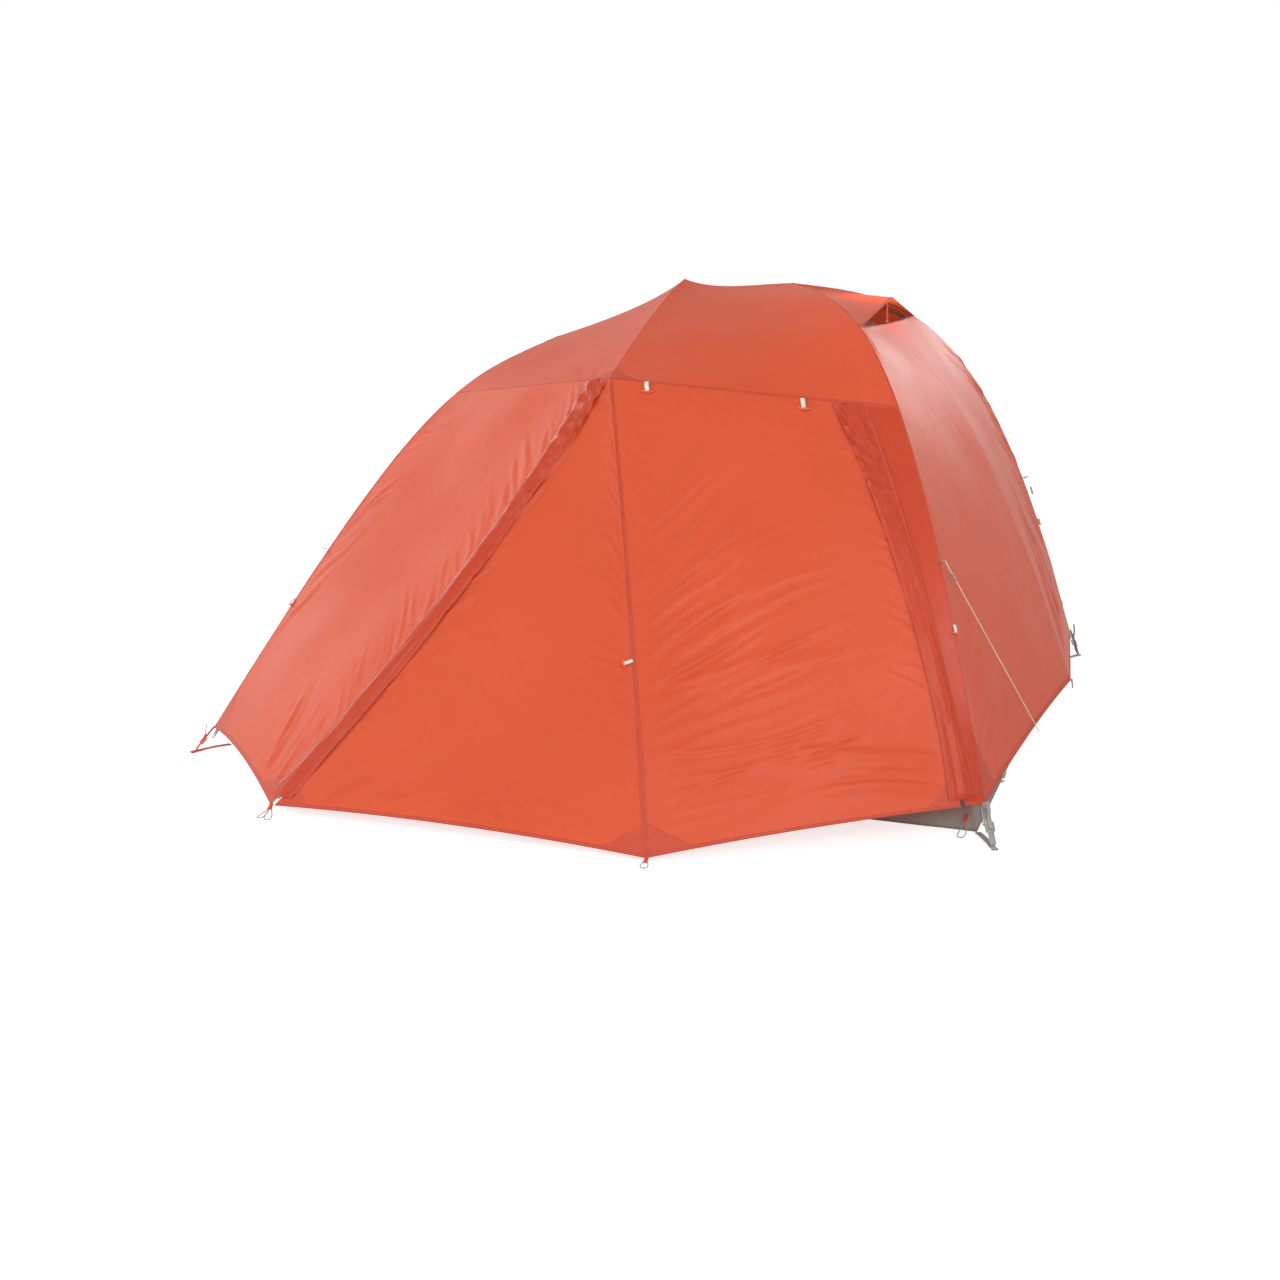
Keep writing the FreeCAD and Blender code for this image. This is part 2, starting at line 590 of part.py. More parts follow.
INNER_ROWS, INNER_COLUMNS = 8, 5
inner_right = inner_leg(leg_right, TUB_TOP, INNER_ROWS)
inner_left = inner_leg(leg_left, Vector(-TUB_TOP.x, TUB_TOP.y, TUB_TOP.z), INNER_ROWS)
inner_top_right, inner_top_left = inner_right[0], inner_left[0]
tub_middle = Vector(0, TUB_TOP.y, TUB_HEIGHT)
inner_middle = (line(INNER_PEAK, INNER_BROW, 3)
                + line(INNER_BROW, tub_middle, INNER_ROWS - 3)[1:])
wall_left = coons(line(inner_top_left, INNER_PEAK, INNER_COLUMNS, lift=20),
                  line(inner_left[-1], tub_middle, INNER_COLUMNS), inner_left, inner_middle)
wall_right = coons(line(INNER_PEAK, inner_top_right, INNER_COLUMNS, lift=8),
                   line(tub_middle, inner_right[-1], INNER_COLUMNS), inner_middle, inner_right)
DOOR_CELLS = [(i, j) for i in range(3, 7) for j in range(1, 4)]
walls = [sheet(wall_left), sheet(wall_right, skip=DOOR_CELLS)]
export("inner_wall_front", walls)
export("inner_wall_back", [mirror_solid(w) for w in walls])


def shrink(points, margin):
    """Door leaf inside its opening: every border point moves towards the leaf's middle."""
    rows, columns = len(points), len(points[0])
    leaf = [list(row) for row in points]
    for i in range(rows):
        leaf[i][0] = leaf[i][0] + unit(points[i][1] - points[i][0]) * margin
        leaf[i][-1] = leaf[i][-1] + unit(points[i][-2] - points[i][-1]) * margin
    for j in range(columns):
        leaf[0][j] = leaf[0][j] + unit(points[1][j] - points[0][j]) * margin
        leaf[-1][j] = leaf[-1][j] + unit(points[-2][j] - points[-1][j]) * margin
    return leaf


door_leaf = shrink([row[1:5] for row in wall_right[3:8]], 5.0)
both_sides("inner_door_front", "inner_door_back", door_leaf)

inner_end_left = coons([inner_top_left] * 7, line(inner_left[-1], mirror(inner_left[-1]), 6),
                       inner_left, [mirror(p) for p in inner_left], sag=15)
inner_end_right = coons([inner_top_right] * 7, line(inner_right[-1], mirror(inner_right[-1]), 6),
                        inner_right, [mirror(p) for p in inner_right], sag=15)
export("inner_end_left", [sheet(inner_end_left)])
export("inner_end_right", [sheet(inner_end_right)])


def clip(before, here, after):
    """Pole clip: a collar round the pole and a strap down to the inner canopy."""
    along = unit(after - before)
    down = inward(here)
    half = along * (CLIP_LENGTH / 2)
    ring = rod(here - half, here + half, POLE_R + CLIP_WALL)
    strap = block(here + down * CLIP_STRAP_DROP, down, along, *CLIP_STRAP)
    return ring.fuse(strap).cut(rod(here - along * CLIP_CUT, here + along * CLIP_CUT,
                                    POLE_R + CLIP_FIT))


clips = [clip(*axis[k - 1:k + 2]) for axis in leg_axes.values() for k in (1, 3, 5, 7)]
export("pole_clips", clips + [mirror_solid(c) for c in clips])

# ---------------------------------------------------------------- corners, loops and lines
def corner_strap(hem, foot):
    """Webbing from the fly's corner to the ground; returns strap, middle and direction."""
    direction = unit(foot - hem)
    across = unit(Vector(-direction.y, direction.x, 0) if abs(direction.z) < 0.2
                  else Vector(hem.y, -hem.x, 0))
    middle = (hem + foot) * 0.5
    return middle, direction, across, (foot - hem).Length


def buckle(middle, direction, across):
    """Ladder-lock buckle: a frame with a slot that the webbing passes through."""
    slot_width = WEBBING_WIDTH + BUCKLE_FIT
    body = block(middle, direction, across, BUCKLE_LENGTH, WEBBING_WIDTH + BUCKLE_RIM,
                 BUCKLE_THICK)
    slot = block(middle, direction, across, BUCKLE_LENGTH * 2, slot_width,
                 WEBBING_THICK + BUCKLE_FIT)
    window = block(middle + direction * BUCKLE_WINDOW_SHIFT, direction, across, BUCKLE_WINDOW,
                   slot_width, BUCKLE_THICK * 2)
    return body.cut(slot).cut(window)


floor_straps = []
for side, hem, sign in (("right", HEM_RIGHT, 1), ("left", HEM_LEFT, -1)):
    outward = unit(Vector(hem.x, hem.y, 0))
    top = hem + outward * 6 + Vector(0, 0, -4)
    foot = Vector(sign * (STAKE_X + 9), -(STAKE_Y + 9), 5)
    middle, direction, across, length = corner_strap(top, foot)
    strap = block(middle, direction, across, length, WEBBING_WIDTH, WEBBING_THICK)
    export("corner_webbing_" + side, [strap, mirror_solid(strap)])
    lock = buckle(middle, direction, across)
    export("buckle_front_" + side, [lock])
    export("buckle_back_" + side, [mirror_solid(lock)])
    tub_corner = Vector(sign * FLOOR_X, -FLOOR_Y, 0)
    ground = Vector(sign * (STAKE_X + 16), -(STAKE_Y + 24), 0)
    run = ground - tub_corner
    flat = block((tub_corner + ground) * 0.5 + Vector(0, 0, 1.0) + unit(run) * 3, run,
                 Vector(-run.y, run.x, 0), run.Length, WEBBING_WIDTH + FLOOR_STRAP_RIM,
                 FLOOR_STRAP_THICK)
    floor_straps.append(flat)
export("floor_corner_straps", floor_straps + [mirror_solid(s) for s in floor_straps])


def stake_loop(at, outward):
    """Loop of shock cord lying flat on the ground beyond a hem point."""
    centre = Vector(at.x, at.y, CORD_R + 0.2) + unit(outward) * GROUND_LOOP_OUT
    return Part.makeTorus(GROUND_LOOP_R, CORD_R, centre, Vector(0, 0, 1))


def hem_loop(at, down):
    return Part.makeTorus(HEM_LOOP_R, CORD_R, at + unit(down) * HEM_LOOP_DOWN, Vector(0, 1, 0))


loops = [stake_loop(Vector(SIDE_TIP.x, SIDE_TIP.y, 0), Vector(-0.5, -0.9, 0)),
         stake_loop(Vector(SIDE_TIP.x + 34, SIDE_TIP.y, 0), Vector(0.3, -1, 0)),
         stake_loop(Vector(DOOR_TIP.x, DOOR_TIP.y, 0), Vector(0.1, -1, 0)),
         stake_loop(Vector(FLOOR_X - 30, -FLOOR_Y - 14, 0), Vector(-0.2, -1, 0))]
hem_loops = [hem_loop(END_HEM_RIGHT + Vector(4, 0, 0), Vector(0.2, 0, -1)),
             hem_loop(END_HEM_LEFT + Vector(-4, 0, 0), Vector(-0.2, 0, -1))]
export("stake_loops", loops + [mirror_solid(l) for l in loops] + hem_loops)

guy_right = leg_right(LEG_T_GUY_RIGHT)
guy_left = leg_left(LEG_T_GUY_LEFT)


def guy_tab(at):
    out = inward(at) * -1
    return block(at + out * GUY_TAB_OUT, out, Vector(0, 0, 1), *GUY_TAB)


tabs = [guy_tab(guy_right), guy_tab(guy_left)]
export("guyout_tabs", tabs + [mirror_solid(t) for t in tabs])

hem_at = HEM_RIGHT + (END_HEM_RIGHT - HEM_RIGHT) * GUY_FOOT + Vector(0, 0, END_HEM_LIFT)
guy_top = guy_right + inward(guy_right) * -GUYLINE_OUT
guy_foot = hem_at + Vector(16, -6, -6)
guyline = rod(guy_top, guy_foot, CORD_R)
export("guyline_front", [guyline])
export("guyline_back", [mirror_solid(guyline)])

guy_dir = unit(guy_foot - guy_top)
tension_at = guy_top + guy_dir * TENSIONER_DOWN
reach = guy_dir * TENSIONER[0]
tensioner = block(tension_at, guy_dir, Vector(0, 1, 0), *TENSIONER)
tensioner = tensioner.cut(rod(tension_at - reach, tension_at + reach, CORD_R + 0.5))
export("tensioner_front", [tensioner])
export("tensioner_back", [mirror_solid(tensioner)])


def leg_toggle(leg, t):
    """Tab on a leg's seam: it lies across the seam, clear of the panels that fall away beside it."""
    at = leg(t)
    out = inward(at) * -1
    down_leg = leg(t) - leg(t + TANGENT_STEP)
    return block(at + out * LEG_TOGGLE_OUT, out, out.cross(down_leg), *LEG_TOGGLE)


toggles = [leg_toggle(leg_right, LEG_T_TOGGLE_RIGHT), leg_toggle(leg_left, LEG_T_TOGGLE_LEFT)]
export("leg_toggles", toggles + [mirror_solid(t) for t in toggles])
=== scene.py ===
"""The tent's looks: tensioned fly panels with folds, seams, hems, zips, webbing, cords and inner tent.

Metres, in the CAD frame: +X towards the steep end, -Y towards the front door, +Z up.
The back (+Y) half mirrors the front. The lines below are the lines of the CAD model.
"""
import math

import bpy
import numpy as np
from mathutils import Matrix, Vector


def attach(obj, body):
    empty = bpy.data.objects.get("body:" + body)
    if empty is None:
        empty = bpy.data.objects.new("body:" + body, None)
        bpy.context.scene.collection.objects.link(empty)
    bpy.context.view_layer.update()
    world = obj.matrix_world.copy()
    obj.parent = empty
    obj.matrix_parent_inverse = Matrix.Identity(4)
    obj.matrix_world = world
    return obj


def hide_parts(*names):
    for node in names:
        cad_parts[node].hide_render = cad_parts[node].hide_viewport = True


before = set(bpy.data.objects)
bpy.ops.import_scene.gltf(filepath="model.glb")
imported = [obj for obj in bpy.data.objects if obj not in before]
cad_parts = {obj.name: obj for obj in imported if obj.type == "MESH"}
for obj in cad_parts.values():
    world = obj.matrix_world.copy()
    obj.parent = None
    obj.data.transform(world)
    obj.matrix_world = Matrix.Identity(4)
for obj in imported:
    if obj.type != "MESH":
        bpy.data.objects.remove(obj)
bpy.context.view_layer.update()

# ---------------------------------------------------------------- the tent's lines
FOOT_RIGHT, FOOT_LEFT = (1.220, -1.090, 0.0), (-1.220, -1.090, 0.0)
HUB_RIGHT, HUB_LEFT = (0.363, 0, 1.415), (-0.450, 0, 1.233)
PEAK, BROW_END = (0, 0, 1.425), (0, -0.685, 1.155)
LEG_BENDS_RIGHT = ((0.882, -0.718, 1.373), (0.649, -0.344, 1.364))
LEG_BENDS_LEFT = ((-0.755, -0.432, 1.074), (-0.684, -0.331, 1.099))
BROW_BENDS = ((0, -0.220, 1.375), (0, -0.460, 1.255))
RIDGE_BENDS_LEFT = ((-0.320, 0, 1.275), (-0.120, 0, 1.338))
RIDGE_BENDS_RIGHT = ((0.110, 0, 1.386), (0.240, 0, 1.412))
SIDE_TIP, DOOR_TIP = np.array((-0.690, -1.520, 0.030)), np.array((0.410, -1.510, 0.015))
RIGHT_ZIP_TOP_X, LEFT_ZIP_TOP_X = 0.700, -0.050
RIGHT_ZIP_FOOT = np.array((1.150, -1.100, 0.108))
END_HEM_RIGHT, END_HEM_LEFT = np.array((1.302, 0, 0.186)), np.array((-1.302, 0, 0.130))
VENT_PEAK = np.array((0.687, 0, 1.374))
VENT_LIP_SAG, HOOD_SAG = 0.006, 0.034
SIDE_HEM_LIFT, LEFT_DOOR_HEM_LIFT, RIGHT_DOOR_HEM_LIFT, END_HEM_LIFT = 0.034, 0.016, 0.009, 0.020
LEG_T_HEM_RIGHT, LEG_T_SEAM_RIGHT, LEG_T_VENT = 0.026, 0.409, 0.615
LEG_T_HEM_LEFT, LEG_T_SEAM_LEFT = 0.022, 0.615
LEG_T_GUY_RIGHT, LEG_T_GUY_LEFT = 0.214, 0.232
LEG_T_TOGGLE_RIGHT, LEG_T_TOGGLE_LEFT = 0.157, 0.163
TOGGLE_X = {"left": 0.111, "right": 0.570}
GUY_FOOT = 0.52                # guyline's foot, as a share of the end hem's half
ZIP_GAP, SEAM_GAP = 0.012, 0.0006
CELL, DOOR_CELL = 0.008, 0.0065   # grid step of a fly panel


def bezier(points, t):
    a, b, c, d = (np.asarray(p, float) for p in points)
    t = np.asarray(t, float)[..., None]
    s = 1 - t
    return a * s ** 3 + b * 3 * s * s * t + c * 3 * s * t * t + d * t ** 3


def part_of(curve, start, end):
    return lambda t: curve(start + (end - start) * np.asarray(t, float))


def line(a, b, lift=0.0):
    """Straight border from a to b; lift raises its middle, as a hem is cut."""
    a, b = np.asarray(a, float), np.asarray(b, float)

    def curve(t):
        t = np.asarray(t, float)[..., None]
        return a + (b - a) * t + np.array((0, 0, 4 * lift)) * t * (1 - t)
    return curve


def mirror(points):
    return np.asarray(points) * (1, -1, 1)


def unit(v):
    v = np.asarray(v, float)
    return v / np.maximum(np.linalg.norm(v, axis=-1, keepdims=True), 1e-9)


def inward(points):
    """Direction from the fly into the tent, as the CAD sheets are thickened."""
    points = np.asarray(points, float)
    x = np.clip(points[..., 0] * 0.3, -0.35, 0.35)
    target = np.stack([x, np.zeros_like(x), np.full_like(x, 0.35)], -1)
    return unit(target - points)


leg_right = lambda t: bezier((FOOT_RIGHT, *LEG_BENDS_RIGHT, HUB_RIGHT), t)
leg_left = lambda t: bezier((FOOT_LEFT, *LEG_BENDS_LEFT, HUB_LEFT), t)
brow = lambda t: bezier((PEAK, *BROW_BENDS, BROW_END), t)
ridge_left = lambda t: bezier((HUB_LEFT, *RIDGE_BENDS_LEFT, PEAK), t)
ridge_right = lambda t: bezier((PEAK, *RIDGE_BENDS_RIGHT, HUB_RIGHT), t)
SEAM_LEFT_END, SEAM_RIGHT_END = leg_left(LEG_T_SEAM_LEFT), leg_right(LEG_T_SEAM_RIGHT)
HEM_LEFT, HEM_RIGHT = leg_left(LEG_T_HEM_LEFT), leg_right(LEG_T_HEM_RIGHT)


def on_seam(x):
    end = SEAM_LEFT_END if x < 0 else SEAM_RIGHT_END
    return np.array(BROW_END) + (end - np.array(BROW_END)) * (x / end[0])


def bowed(a, b, bow):
    a, b = np.asarray(a, float), np.asarray(b, float)
    third = (b - a) / 3
    return lambda t: bezier((a, a + third + bow, b - third + bow, b), t)


LEFT_ZIP_TOP, RIGHT_ZIP_TOP = on_seam(LEFT_ZIP_TOP_X), on_seam(RIGHT_ZIP_TOP_X)
left_zip = bowed(LEFT_ZIP_TOP, SIDE_TIP, (0.070, 0, 0))
right_zip = bowed(RIGHT_ZIP_TOP, RIGHT_ZIP_FOOT, (0.061, -0.036, 0))
middle_seam = bowed(BROW_END, DOOR_TIP, (0.012, -0.012, 0.004))
door_down = unit(DOOR_TIP - np.array(BROW_END))


# ---------------------------------------------------------------- panels
class Panel:
    """Curved sheet spanning four borders: u runs along top and bottom, v down the sides."""

    def __init__(self, top, bottom, left, right, sag=0.0, cell=CELL):
        self.top, self.bottom, self.left, self.right, self.sag = top, bottom, left, right, sag
        t = np.linspace(0, 1, 40)
        span = lambda curve: np.linalg.norm(np.diff(curve(t), axis=0), axis=1).sum()
        self.width, self.height = max(span(top), span(bottom)), max(span(left), span(right))
        self.columns = max(4, int(self.width / cell))
        self.rows = max(4, int(self.height / cell))
        self.relief = None
        self.folds = []

    def base(self, u, v):
        u, v = np.asarray(u, float), np.asarray(v, float)
        a, b = u[..., None], v[..., None]
        corners = ((self.top(0.0) * (1 - a) + self.top(1.0) * a) * (1 - b)
                   + (self.bottom(0.0) * (1 - a) + self.bottom(1.0) * a) * b)
        point = (self.left(v) * (1 - a) + self.right(v) * a
                 + self.top(u) * (1 - b) + self.bottom(u) * b - corners)
        depth = self.sag * 16 * a * (1 - a) * b * (1 - b)
        return point + inward(point) * depth

    def normal(self, u, v):
        e = 1e-3
        du = self.base(np.minimum(u + e, 1), v) - self.base(np.maximum(u - e, 0), v)
        dv = self.base(u, np.minimum(v + e, 1)) - self.base(u, np.maximum(v - e, 0))
        n = unit(np.cross(du, dv))
        flip = np.sign(-(n * inward(self.base(u, v))).sum(-1, keepdims=True))
        return n * np.where(flip == 0, 1, flip)

    def grid(self, columns=None, rows=None, u=(0, 1), v=(0, 1)):
        return np.meshgrid(np.linspace(*u, (columns or self.columns) + 1),
                           np.linspace(*v, (rows or self.rows) + 1))

    def surface(self, u, v, lift=0.0):
        """Points of the finished sheet, folds included, raised by lift."""
        base, normal = self.base(u, v), self.normal(u, v)
        if self.relief:
            base = base + normal * self.relief(self, u, v, base, normal)[..., None]
        lift = np.asarray(lift, float)
        return base + normal * (lift[..., None] if lift.ndim else lift)


def edge_fade(panel, u, v, reach=0.05):
    """0 at the borders, 1 from a distance inside them."""
    fade = 1.0
    for t, length in ((u, panel.width), (1 - u, panel.width), (v, panel.height),
                      (1 - v, panel.height)):
        s = np.clip(t * length / reach, 0, 1)
        fade = fade * s * s * (3 - 2 * s)
    return fade


def waves(seed, points, size, count=14):
    """Smooth random relief, about -1 to 1, with features of a given size."""
    rng = np.random.default_rng(seed)
    total = np.zeros(points.shape[:-1])
    for _ in range(count):
        direction = unit(rng.normal(size=3))
        length = size * rng.uniform(0.6, 1.6)
        total += np.sin(points @ direction * (2 * math.pi / length) + rng.uniform(0, 6.28))
    return total / math.sqrt(count)


def fold(points, normals, path, width, height, sharp):
    """Height of one fold: a ridge along the path with a shallow valley on one side."""
    best = np.full(points.shape[:-1], 1e9)
    side, along = np.zeros_like(best), np.zeros_like(best)
    steps = len(path) - 1
    for k in range(steps):
        a, b = path[k], path[k + 1]
        run = b - a
        t = np.clip(((points - a) @ run) / (run @ run), 0, 1)
        off = points - (a + t[..., None] * run)
        distance = np.linalg.norm(off, axis=-1)
        closer = distance < best
        best = np.where(closer, distance, best)
        across = np.cross(unit(run), normals)
        side = np.where(closer, np.sign((off * across).sum(-1)), side)
        along = np.where(closer, (k + t) / steps, along)
    s = side * best / width
    taper = np.clip(along / 0.16, 0, 1) * np.clip((1 - along) / 0.45, 0, 1)
    taper = taper * taper * (3 - 2 * taper)
    ridge = np.exp(-np.abs(s) ** sharp) - 0.55 * np.exp(-((s - 1.7) / 1.25) ** 2)
    return ridge * height * taper


def folds_relief(seed, rough=0.00022, broad=0.0016):
    def relief(panel, u, v, base, normal):
        total = broad * waves(seed, base, 0.34) + rough * waves(seed + 1, base, 0.075)
        for path_uv, width, height, sharp in panel.folds:
            path = panel.base(path_uv[:, 0], path_uv[:, 1])
            near = np.linalg.norm(base - path.mean(0), axis=-1) < 0.75 * (
                np.linalg.norm(path[-1] - path[0]) + 8 * width)
            if near.any():
                total[near] += fold(base[near], normal[near], path, width, height, sharp)
        return total * edge_fade(panel, u, v)
    return relief


def fan(panel, seed, origin, aim, spread, count, length, width, height, bend=0.15):
    """Folds that leave a line of a panel. aim turns from one angle to another along the line;
    0 points along u, 90 down v. Lengths are metres."""
    rng = np.random.default_rng(seed)
    start_a, start_b = (np.array(o, float) for o in origin)
    for k in range(count):
        s = (k + rng.uniform(0.1, 0.9)) / count
        a = start_a + (start_b - start_a) * s
        angle = math.radians(aim[0] + (aim[1] - aim[0]) * s + spread * rng.uniform(-0.5, 0.5))
        reach = length * rng.uniform(0.45, 1.15)
        step = np.array((math.cos(angle) * reach / panel.width,
                         math.sin(angle) * reach / panel.height))
        side = np.array((-step[1], step[0])) * bend * rng.uniform(-0.6, 1.0)
        t = np.linspace(0, 1, 7)[:, None]
        path = np.clip(a + step * t + side * 4 * t * (1 - t), 0.002, 0.998)
        panel.folds.append((path, width * rng.uniform(0.6, 1.5), height * rng.uniform(0.35, 1.2),
                            rng.uniform(1.3, 2.0)))


def beside(zip_curve, distance, drop=0.0):
    """Door edge: the zip's line moved towards the door's middle seam, and below the seam."""
    def curve(t):
        t = np.asarray(t, float)
        p = zip_curve(t)
        down = np.clip(1 - t * 12, 0, 1)[..., None] * door_down * drop
        return p + unit(middle_seam(t) - p) * distance + down
    return curve


def seam_dropped(t):
    t = np.asarray(t, float)
    return middle_seam(t) + np.clip(1 - t * 12, 0, 1)[..., None] * door_down * SEAM_GAP


door_left_edge, door_right_edge = (beside(z, ZIP_GAP, SEAM_GAP) for z in (left_zip, right_zip))

roof_left = Panel(ridge_left, line(SEAM_LEFT_END, BROW_END),
                  part_of(leg_left, 1, LEG_T_SEAM_LEFT), brow, sag=0.012)
roof_right = Panel(ridge_right, line(BROW_END, SEAM_RIGHT_END), brow,
                   part_of(leg_right, 1, LEG_T_SEAM_RIGHT), sag=0.008)
side_panel = Panel(line(SEAM_LEFT_END, LEFT_ZIP_TOP), line(HEM_LEFT, SIDE_TIP, SIDE_HEM_LIFT),
                   part_of(leg_left, LEG_T_SEAM_LEFT, LEG_T_HEM_LEFT), left_zip, sag=0.014)
strip_panel = Panel(line(RIGHT_ZIP_TOP, SEAM_RIGHT_END), line(RIGHT_ZIP_FOOT, HEM_RIGHT),
                    right_zip, part_of(leg_right, LEG_T_SEAM_RIGHT, LEG_T_HEM_RIGHT))
door_left = Panel(line(door_left_edge(0.0), seam_dropped(0.0)),
                  line(door_left_edge(1.0), DOOR_TIP, LEFT_DOOR_HEM_LIFT),
                  door_left_edge, seam_dropped, sag=0.010)
door_right = Panel(line(seam_dropped(0.0), door_right_edge(0.0)),
                   line(DOOR_TIP, door_right_edge(1.0), RIGHT_DOOR_HEM_LIFT),
                   seam_dropped, door_right_edge, sag=-0.018, cell=DOOR_CELL)


def end_border(corner, middle, lift=END_HEM_LIFT):
    """Border of an end panel: from a front corner to its middle and on to the back corner."""
    half = line(corner, middle, lift)

    def curve(t):
        t = np.asarray(t, float)
        near, far = half(np.minimum(t * 2, 1)), mirror(half(np.minimum((1 - t) * 2, 1)))
        return np.where((t <= 0.5)[..., None], near, far)
    return curve


def mirrored(curve):
    return lambda t: mirror(curve(t))


point = lambda p: (lambda t: np.asarray(t, float)[..., None] * 0 + np.asarray(p, float))
end_left_side = part_of(leg_left, 1, LEG_T_HEM_LEFT)
end_left = Panel(point(HUB_LEFT), end_border(HEM_LEFT, END_HEM_LEFT), end_left_side,
                 mirrored(end_left_side), sag=0.020)
end_right_side = part_of(leg_right, LEG_T_VENT, LEG_T_HEM_RIGHT)
vent_corner = leg_right(LEG_T_VENT)
end_right = Panel(line(vent_corner, mirror(vent_corner), -VENT_LIP_SAG),
                  end_border(HEM_RIGHT, END_HEM_RIGHT), end_right_side,
                  mirrored(end_right_side), sag=0.024)
hood_side = part_of(leg_right, 1, LEG_T_VENT)
hood_front = end_border(vent_corner, VENT_PEAK, 0.0)
hood = Panel(point(HUB_RIGHT), hood_front, hood_side, mirrored(hood_side), sag=HOOD_SAG)

# folds, placed where the cloth is pulled: along seams and zips, at corners and above hems
fan(door_right, 11, ((0.05, 0.34), (0.03, 0.80)), (-46, -24), 8, 19, 0.60, 0.0070, 0.0050, 0.05)
fan(door_right, 12, ((0.03, 0.50), (0.05, 0.97)), (-34, -6), 8, 16, 0.72, 0.0085, 0.0044, 0.06)
fan(door_right, 13, ((0.18, 0.42), (0.42, 0.90)), (-46, -18), 9, 15, 0.42, 0.0065, 0.0038, 0.05)
fan(door_right, 14, ((0.985, 0.985), (0.985, 0.86)), (181, 190), 6, 7, 0.60, 0.0100, 0.0048, 0.08)
fan(door_right, 15, ((0.02, 0.03), (0.03, 0.34)), (-8, -34), 20, 16, 0.16, 0.0060, 0.0018)
fan(door_right, 16, ((0.03, 0.012), (0.95, 0.012)), (24, 60), 40, 20, 0.09, 0.0055, 0.0024)
fan(door_right, 17, ((0.975, 0.10), (0.975, 0.75)), (200, 212), 20, 14, 0.15, 0.0070, 0.0020)
fan(door_left, 21, ((0.02, 0.985), (0.40, 0.985)), (-52, -20), 20, 16, 0.44, 0.0080, 0.0044)
fan(door_left, 22, ((0.97, 0.10), (0.97, 0.80)), (212, 192), 24, 16, 0.20, 0.0070, 0.0032)
fan(door_left, 23, ((0.03, 0.10), (0.03, 0.90)), (-60, -40), 16, 26, 0.24, 0.0070, 0.0040)
fan(door_left, 24, ((0.97, 0.985), (0.60, 0.985)), (186, 200), 14, 8, 0.34, 0.0090, 0.0026)
fan(side_panel, 31, ((0.98, 0.985), (0.72, 0.99)), (264, 238), 22, 11, 0.32, 0.0085, 0.0026)
fan(side_panel, 32, ((0.975, 0.06), (0.975, 0.90)), (236, 214), 16, 30, 0.24, 0.0070, 0.0024)
fan(side_panel, 33, ((0.03, 0.55), (0.02, 0.86)), (-74, -62), 16, 12, 0.30, 0.0065, 0.0030)
fan(side_panel, 34, ((0.02, 0.10), (0.02, 0.50)), (-30, -56), 24, 8, 0.16, 0.0070, 0.0018)
fan(roof_left, 41, ((0.98, 0.98), (0.75, 0.99)), (245, 225), 30, 7, 0.16, 0.0080, 0.0014)
fan(roof_right, 42, ((0.02, 0.98), (0.25, 0.99)), (-60, -50), 30, 7, 0.16, 0.0080, 0.0012)
fan(end_right, 51, ((0.01, 0.985), (0.01, 0.80)), (-22, -10), 12, 6, 0.36, 0.0120, 0.0030)
fan(end_right, 52, ((0.985, 0.97), (0.985, 0.35)), (200, 250), 12, 24, 0.56, 0.0090, 0.0050)
fan(end_right, 53, ((0.74, 0.97), (0.54, 0.985)), (262, 280), 14, 7, 0.50, 0.0110, 0.0056)
fan(end_left, 61, ((0.01, 0.98), (0.01, 0.60)), (-20, -45), 16, 9, 0.40, 0.0120, 0.0036)
fan(end_left, 62, ((0.99, 0.98), (0.99, 0.60)), (200, 225), 16, 9, 0.40, 0.0120, 0.0036)
for seed, panel in enumerate((roof_left, roof_right, side_panel, strip_panel, door_left,
                              door_right, end_left, end_right, hood)):
    panel.relief = folds_relief(100 + 7 * seed)


